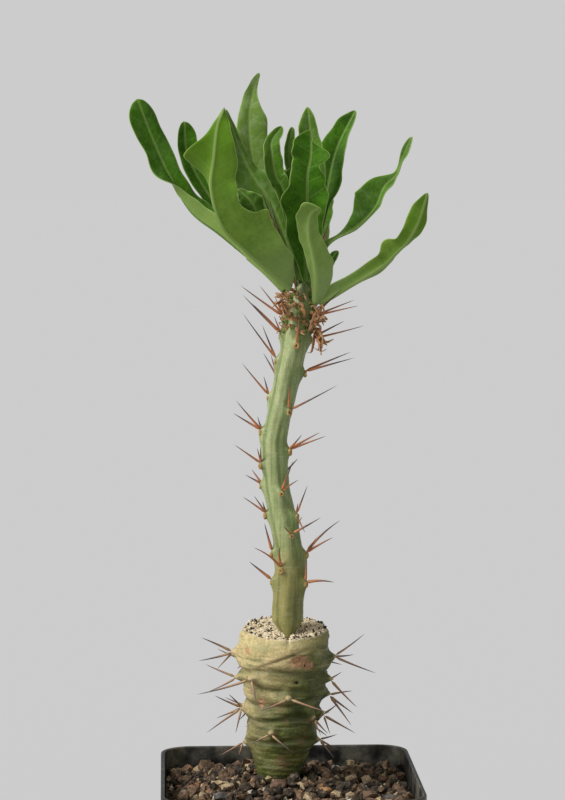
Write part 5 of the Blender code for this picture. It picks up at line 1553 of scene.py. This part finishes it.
# %% Spines among the leaves
CROWN_SPINES = (
    ((-5.5, 1.0, 226.0), (-12.5, -1.5, 244.5)),
    ((-2.0, -1.5, 230.0), (-9.5, -4.0, 248.0)),
    ((2.6, 2.0, 216.0), (-7.5, -2.0, 247.0)),
    ((9.5, 3.0, 229.5), (11.9, 1.0, 235.8)),
    ((6.0, 4.5, 222.0), (12.5, 6.0, 237.0)),
    ((5.0, 8.5, 218.0), (9.0, 15.5, 233.0)),
    ((0.5, 7.5, 217.0), (-7.5, 12.0, 231.0)),
    ((3.6, 9.5, 216.5), (2.0, 19.0, 230.0)),
)


def crown_spines():
    rng = np.random.default_rng(77)
    parts, reaches = [], []
    for foot, tip in CROWN_SPINES:
        drawn = np.subtract(tip, foot)
        length = float(np.linalg.norm(drawn))
        points, reach = thorn_at(foot, drawn / length, length, 0.34, 0.02, rng)
        parts.append((points, thorn_faces, rng.random()))
        reaches.append(0.35 + 0.65 * reach)
    obj = one_piece("crown_spines", parts, True)
    note(obj, "reach", np.concatenate(reaches))
    return obj


belongs(crown_spines(), stem_thorn_material, "stem_skin")
print("crown spines:", len(CROWN_SPINES))

# %% [markdown]
# ## The mix
#
# The mix is dark soil, bark and baked clay, with some tan and orange grit and a little pale
# pumice, each grain from about half a millimetre to five millimetres. A few thousand grains,
# each one a ball of twenty triangles knocked out of shape, lie in a heap that rises to the stock
# and falls to the wall. Sixteen larger stones lie on top, each a piece of its own.

# %% Height of the mix
POT_TOP = 75.0
POT_BASE = 54.0
POT_HEIGHT = 76.0
RIM_RADIUS = 9.5
WALL = 1.2
MIX_AT_WALL = POT_HEIGHT - 7.0
MIX_AT_STOCK = POT_HEIGHT - 2.4
MOUND_REACH = 26.0


def mix_height(x, y):
    radius, cx, cy = grown(STOCK_LEVELS, MIX_AT_STOCK)[:, 0]
    away = np.clip((np.hypot(x - cx, y - cy) - radius) / MOUND_REACH, 0, 1)
    fall = away * away * (3 - 2 * away)
    roll = 0.35 * np.sin(0.55 * x + 1.0) * np.sin(0.6 * y + 0.4)
    return MIX_AT_STOCK - fall * (MIX_AT_STOCK - MIX_AT_WALL) + roll * away


# %% [markdown]
# The grains come in a few kinds, so each kind is a piece with its own material: dark soil crumbs,
# brown bark and clay, tan and orange grit, and pale pumice. Chance picks the place, size and
# turn of each grain, and the biggest are the rarest.

# %% Scatter the grains
INNER_HALF = POT_TOP / 2 - WALL - 1.0
CORNER_FROM = 29
CORNER_ROUND = 7.2
GRAIN_KINDS = {
    "grit_soil": (2000, 0.8, 4.6),
    "grit_bark": (1250, 0.9, 5.0),
    "grit_rust": (220, 0.9, 3.8),
    "grit_tan": (520, 0.8, 4.4),
    "grit_pale": (190, 0.6, 3.0),
}


def scatter(name, count, small, large, seed):
    rng = np.random.default_rng(seed)
    radius, cx, cy = grown(STOCK_LEVELS, MIX_AT_STOCK)[:, 0]
    parts = []
    while len(parts) < count:
        x, y = rng.uniform(-INNER_HALF, INNER_HALF, 2)
        size = small + (large - small) * rng.random() ** 2.2
        from_stock = math.hypot(x - cx, y - cy) - radius
        corner = math.hypot(max(abs(x) - CORNER_FROM, 0), max(abs(y) - CORNER_FROM, 0))
        if from_stock < size * 0.35 or corner > CORNER_ROUND - size / 2:
            continue
        high = float(mix_height(x, y)) + size * rng.uniform(-0.15, 0.45)
        parts.append((grain(rng, (x, y, high), size), grain_faces, rng.random()))
    return one_piece(name, parts, False)


# %% [markdown]
# Each kind of stone is a dark and a light colour in cloudy patches, flecked, dusted with dry soil
# and rough all over, so one function makes the material for every grain and stone.

# %% Grain and stone materials
STONE_COLOURS = {
    "grit_soil": ((0.012, 0.010, 0.007), (0.078, 0.056, 0.036), 1.2),
    "grit_bark": ((0.055, 0.034, 0.021), (0.23, 0.145, 0.085), 1.5),
    "grit_rust": ((0.12, 0.052, 0.028), (0.42, 0.22, 0.10), 1.6),
    "grit_tan": ((0.23, 0.165, 0.090), (0.58, 0.45, 0.27), 1.6),
    "grit_pale": ((0.38, 0.34, 0.26), (0.70, 0.64, 0.52), 1.4),
    "pumice": ((0.42, 0.40, 0.31), (0.72, 0.68, 0.54), 2.2),
    "pale": ((0.52, 0.46, 0.37), (0.74, 0.70, 0.60), 2.0),
    "tan": ((0.20, 0.14, 0.080), (0.44, 0.33, 0.21), 2.0),
    "slate": ((0.050, 0.047, 0.045), (0.15, 0.135, 0.12), 2.4),
    "ochre": ((0.22, 0.10, 0.045), (0.48, 0.27, 0.12), 2.0),
    "brick": ((0.13, 0.060, 0.040), (0.32, 0.17, 0.11), 2.0),
    "umber": ((0.055, 0.032, 0.022), (0.17, 0.10, 0.065), 1.8),
}


def make_stone_material(name):
    dark, light, size = STONE_COLOURS[name]
    material, tree, shader = new_material("stone_" + name, 0.88, specular=0.25)
    colour = mottle(tree, dark, light, size)
    fleck = step(tree, spots(tree, 0.45, 2.0), 0.60, 0.68)
    colour = blend(tree, sum_of(tree, "MULTIPLY", fleck, 0.5), colour, dark)
    dusty = step(tree, spots(tree, 1.1, 4.0), 0.56, 0.70)
    colour = blend(tree, sum_of(tree, "MULTIPLY", dusty, 0.25), colour, (0.42, 0.35, 0.26))
    feed(tree, colour, shader.inputs["Base Color"])
    feed(tree, sum_of(tree, "MULTIPLY_ADD", spots(tree, 0.8), 0.25, 0.70), shader.inputs["Roughness"])
    bump(tree, shader, relief(tree, 0.5), 0.16, 1.0)
    return material


grit_materials = {kind: make_stone_material(kind) for kind in GRAIN_KINDS}
for number, (kind, (count, small, large)) in enumerate(GRAIN_KINDS.items()):
    grit = scatter(kind, count, small, large, 200 + number)
    belongs(grit, grit_materials[kind], "potting_mix")
    print(kind, count, "grains,", len(grit.data.polygons), "faces")

# %% [markdown]
# The soil under the grains is the measured piece itself, which only shows in the gaps, so it
# keeps its mesh and gets a dark crumbly material.

# %% Soil under the grains
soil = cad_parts["potting_mix"]
soil.data.materials.clear()
soil.data.materials.append(grit_materials["grit_soil"])

# %% [markdown]
# A larger stone is a fine ball with flats cut on it by chance, as a broken stone has, made a
# little lumpy and then stretched to the box of the measured stone that it stands for.

# %% The larger stones
STONE_TONES = (
    "pumice", "pale", "tan", "slate", "tan", "ochre", "brick", "ochre",
    "ochre", "slate", "umber", "tan", "brick", "umber", "tan", "brick",
)
STONE_FLATS = 9
STONE_SINK = 0.35


def build_stone(number, tone):
    name = f"stone_{number:02d}"
    low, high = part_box(name)
    middle, size = np.array((low + high) / 2) / MM, np.array(high - low) / MM
    obj = lump(f"{name}_{tone}", 4)
    shape = points_of(obj)
    flat_sides = np.random.default_rng(300 + number)
    for _ in range(STONE_FLATS):
        way = unit(flat_sides.normal(size=3))
        over = np.maximum(shape @ way - flat_sides.uniform(0.62, 0.86), 0)
        shape -= np.outer(over * 0.85, way)
    shape *= (1 + 0.07 * uneven(shape, 0.9, number) + 0.025 * uneven(shape, 0.3, number + 50))[:, None]
    shape = (shape - (shape.max(0) + shape.min(0)) / 2) / (shape.max(0) - shape.min(0)) * size
    place_points(obj, shape + middle - (0, 0, STONE_SINK))
    obj.data.shade_smooth()
    belongs(obj, stone_materials[tone], f"stone_{tone}", name)


stone_materials = {tone: make_stone_material(tone) for tone in sorted(set(STONE_TONES))}
for number, tone in enumerate(STONE_TONES, 1):
    build_stone(number, tone)
print("stones:", len(STONE_TONES))

# %% [markdown]
# ## The pot
#
# The pot is a thin black nursery pot, vacuum formed or moulded, with a deeper band under its rim
# and drain holes in its floor. It is made the way a box is modelled by hand: a cube gets round
# corners, its top is drawn up and out to the band, the rim is inset by the wall's thickness and
# the inside is pushed down, and a bevel softens the edges.

# %% Selecting faces and edges by their place
def pick_faces(test):
    """In edit mode, select only the faces whose middle and normal pass the test."""
    mesh = bmesh.from_edit_mesh(bpy.context.object.data)
    bpy.ops.mesh.select_all(action="DESELECT")
    for face in mesh.faces:
        face.select_set(bool(test(face.calc_center_median(), face.normal)))
    mesh.select_flush_mode()
    bmesh.update_edit_mesh(bpy.context.object.data)


def pick_edges(test):
    """In edit mode, select only the edges whose two ends pass the test."""
    mesh = bmesh.from_edit_mesh(bpy.context.object.data)
    bpy.ops.mesh.select_all(action="DESELECT")
    for edge in mesh.edges:
        edge.select_set(bool(test(*(vert.co for vert in edge.verts))))
    bmesh.update_edit_mesh(bpy.context.object.data)


# %% Model the pot
BAND_STEP = 0.8
BAND_Z = POT_HEIGHT - 9.0
FLOOR_THICK = 2.0


def push_top(obj, rise, width):
    """Draw the selected top face up by rise and out to that width."""
    bpy.ops.mesh.extrude_region_move(TRANSFORM_OT_translate={"value": (0, 0, rise * MM)})
    mesh = bmesh.from_edit_mesh(obj.data)
    chosen = [vert for vert in mesh.verts if vert.select]
    widest = max(abs(vert.co.x) for vert in chosen)
    for vert in chosen:
        vert.co.x *= width / 2 * MM / widest
        vert.co.y *= width / 2 * MM / widest
    bmesh.update_edit_mesh(obj.data)


def build_pot():
    nothing_selected()
    neck = POT_TOP - 2 * BAND_STEP
    shoulder = BAND_Z - BAND_STEP
    bpy.ops.mesh.primitive_cube_add(size=1)
    obj = bpy.context.object
    obj.name = "pot_shell"
    place_points(obj, (points_of(obj) + (0, 0, 0.5)) * (neck, neck, shoulder))
    bpy.ops.object.mode_set(mode="EDIT")
    bpy.ops.mesh.select_mode(type="EDGE")
    pick_edges(lambda a, b: abs(a.z - b.z) > 0.01)
    bpy.ops.mesh.bevel(offset=(RIM_RADIUS - BAND_STEP) * MM, segments=12, affect="EDGES")
    bpy.ops.mesh.select_mode(type="FACE")
    pick_faces(lambda middle, normal: normal.z > 0.5)
    push_top(obj, BAND_STEP, POT_TOP)
    push_top(obj, POT_HEIGHT - BAND_Z, POT_TOP)
    bpy.ops.mesh.inset(thickness=WALL * MM)
    push_top(obj, BAND_Z - POT_HEIGHT, POT_TOP - 2 * WALL)
    push_top(obj, -BAND_STEP, neck - 2 * WALL)
    foot_inside = POT_BASE + (neck - POT_BASE) * FLOOR_THICK / shoulder - 2 * WALL
    push_top(obj, FLOOR_THICK - shoulder, foot_inside)
    bpy.ops.object.mode_set(mode="OBJECT")
    taper = points_of(obj) / MM
    foot = taper[:, 2] < 0.01
    taper[foot] *= (POT_BASE / neck, POT_BASE / neck, 1)
    place_points(obj, taper)
    soften = obj.modifiers.new("soft_edges", "BEVEL")
    soften.width = 0.4 * MM
    soften.segments = 3
    soften.limit_method = "ANGLE"
    soften.angle_limit = math.radians(30)
    bpy.ops.object.modifier_apply(modifier=soften.name)
    return obj


DRAIN_COUNT = 8
DRAIN_RADIUS = 3.0
DRAIN_PITCH = 15.0


def drill(obj):
    """Cut the drain holes through the floor."""
    for k in range(DRAIN_COUNT):
        angle = 2 * math.pi * (k + 0.5) / DRAIN_COUNT
        place = (DRAIN_PITCH * MM * math.cos(angle), DRAIN_PITCH * MM * math.sin(angle), 0)
        nothing_selected()
        bpy.ops.mesh.primitive_cylinder_add(
            vertices=32, radius=DRAIN_RADIUS * MM, depth=8 * MM, location=place
        )
        drill_bit = bpy.context.object
        hole = obj.modifiers.new("drain", "BOOLEAN")
        hole.solver = "EXACT"
        hole.object = drill_bit
        bpy.context.view_layer.objects.active = obj
        bpy.ops.object.modifier_apply(modifier=hole.name)
        bpy.data.objects.remove(drill_bit)


# %% [markdown]
# Black plastic is never quite black. It scatters a little light, carries faint scratches, and
# hard water leaves a chalky film and splashes of soil on the inside above the mix.

# %% Pot material
def make_pot_material():
    material, tree, shader = new_material("pot_black_plastic", 0.42, specular=0.38)
    colour = mottle(tree, (0.006, 0.007, 0.007), (0.015, 0.016, 0.016), 14.0)
    place = put(tree, "SeparateXYZ", Vector=put(tree, "TexCoord").outputs["Object"]).outputs
    inside_x = sum_of(tree, "ABSOLUTE", place["X"])
    inside_y = sum_of(tree, "ABSOLUTE", place["Y"])
    out = sum_of(tree, "MAXIMUM", inside_x, inside_y)
    above = step(tree, place["Z"], (BAND_Z - 2) * MM, (BAND_Z + 3) * MM)
    within = step(tree, out, (POT_TOP / 2 - 0.7) * MM, (POT_TOP / 2 - 1.0) * MM)
    inner = sum_of(tree, "MULTIPLY", above, within)
    cloud = step(tree, spots(tree, 9.0, 6.0), 0.40, 0.62)
    film = sum_of(tree, "MULTIPLY", sum_of(tree, "MULTIPLY", cloud, inner), 0.45)
    colour = blend(tree, film, colour, mottle(tree, (0.10, 0.10, 0.075), (0.30, 0.27, 0.20), 2.5))
    dust = step(tree, spots(tree, 3.0, 6.0), 0.55, 0.72)
    colour = blend(tree, sum_of(tree, "MULTIPLY", dust, 0.16), colour, (0.17, 0.17, 0.14))
    scratch = step(tree, spots(tree, 1.2, 2.0, (1, 1, 0.05)), 0.64, 0.70)
    colour = blend(tree, sum_of(tree, "MULTIPLY", scratch, 0.25), colour, (0.12, 0.12, 0.12))
    feed(tree, colour, shader.inputs["Base Color"])
    plain = sum_of(tree, "MULTIPLY_ADD", spots(tree, 4.0), 0.25, 0.28)
    rough = sum_of(tree, "MULTIPLY_ADD", film, 0.4, plain)
    feed(tree, rough, shader.inputs["Roughness"])
    bump(tree, shader, sum_of(tree, "MULTIPLY_ADD", film, 0.5, relief(tree, 1.2)), 0.05, 0.8)
    return material


pot = build_pot()
drill(pot)
bpy.ops.object.shade_smooth_by_angle(angle=math.radians(35))
belongs(pot, make_pot_material(), "pot_plastic", "pot")
print("pot:", len(pot.data.polygons), "faces", [round(v * 1000, 1) for v in pot.dimensions])

# %% [markdown]
# ## The studio
#
# A plain pale floor runs on far behind the pot, under an even pale backdrop of the same tone, so
# the plant stands before a plain grey. A large soft light stands high on the left and shapes the
# round stem. The sky gives the plant less light than the backdrop shows, so that the side turned
# away from the light stays dark, as it does in a room with a single window.

# %% Floor and light
BACKDROP = 0.605
SKY_LIGHT = 0.40
KEY_POWER = 3.3
KEY_SOFTNESS = 26
FLOOR_TONE = 0.565

nothing_selected()
bpy.ops.mesh.primitive_circle_add(vertices=96, radius=60, fill_type="NGON", location=(0, 0, -0.0002))
floor = bpy.context.object
floor.name = "floor"
floor_material, _, floor_shader = new_material("pale_floor", 1.0, specular=0.0)
floor_shader.inputs["Base Color"].default_value = (FLOOR_TONE, FLOOR_TONE, FLOOR_TONE, 1)
floor.data.materials.append(floor_material)
floor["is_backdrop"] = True

bpy.ops.object.light_add(type="SUN", rotation=(math.radians(50), 0, math.radians(-66)))
key_light = bpy.context.object
key_light.data.energy = KEY_POWER
key_light.data.angle = math.radians(KEY_SOFTNESS)

sky = bpy.data.worlds.new("studio")
bpy.context.scene.world = sky
sky.use_nodes = True
seen = put(sky.node_tree, "LightPath").outputs["Is Camera Ray"]
tone = sum_of(sky.node_tree, "MULTIPLY_ADD", seen, BACKDROP - SKY_LIGHT, SKY_LIGHT)
feed(sky.node_tree, tone, sky.node_tree.nodes["Background"].inputs["Color"])
bpy.context.scene.view_settings.view_transform = "Standard"

# %% [markdown]
# ## The finished size
#
# The size of the finished model is printed.

# %% The finished size
low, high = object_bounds()
print("size in mm:", [round(v / MM, 1) for v in high - low])
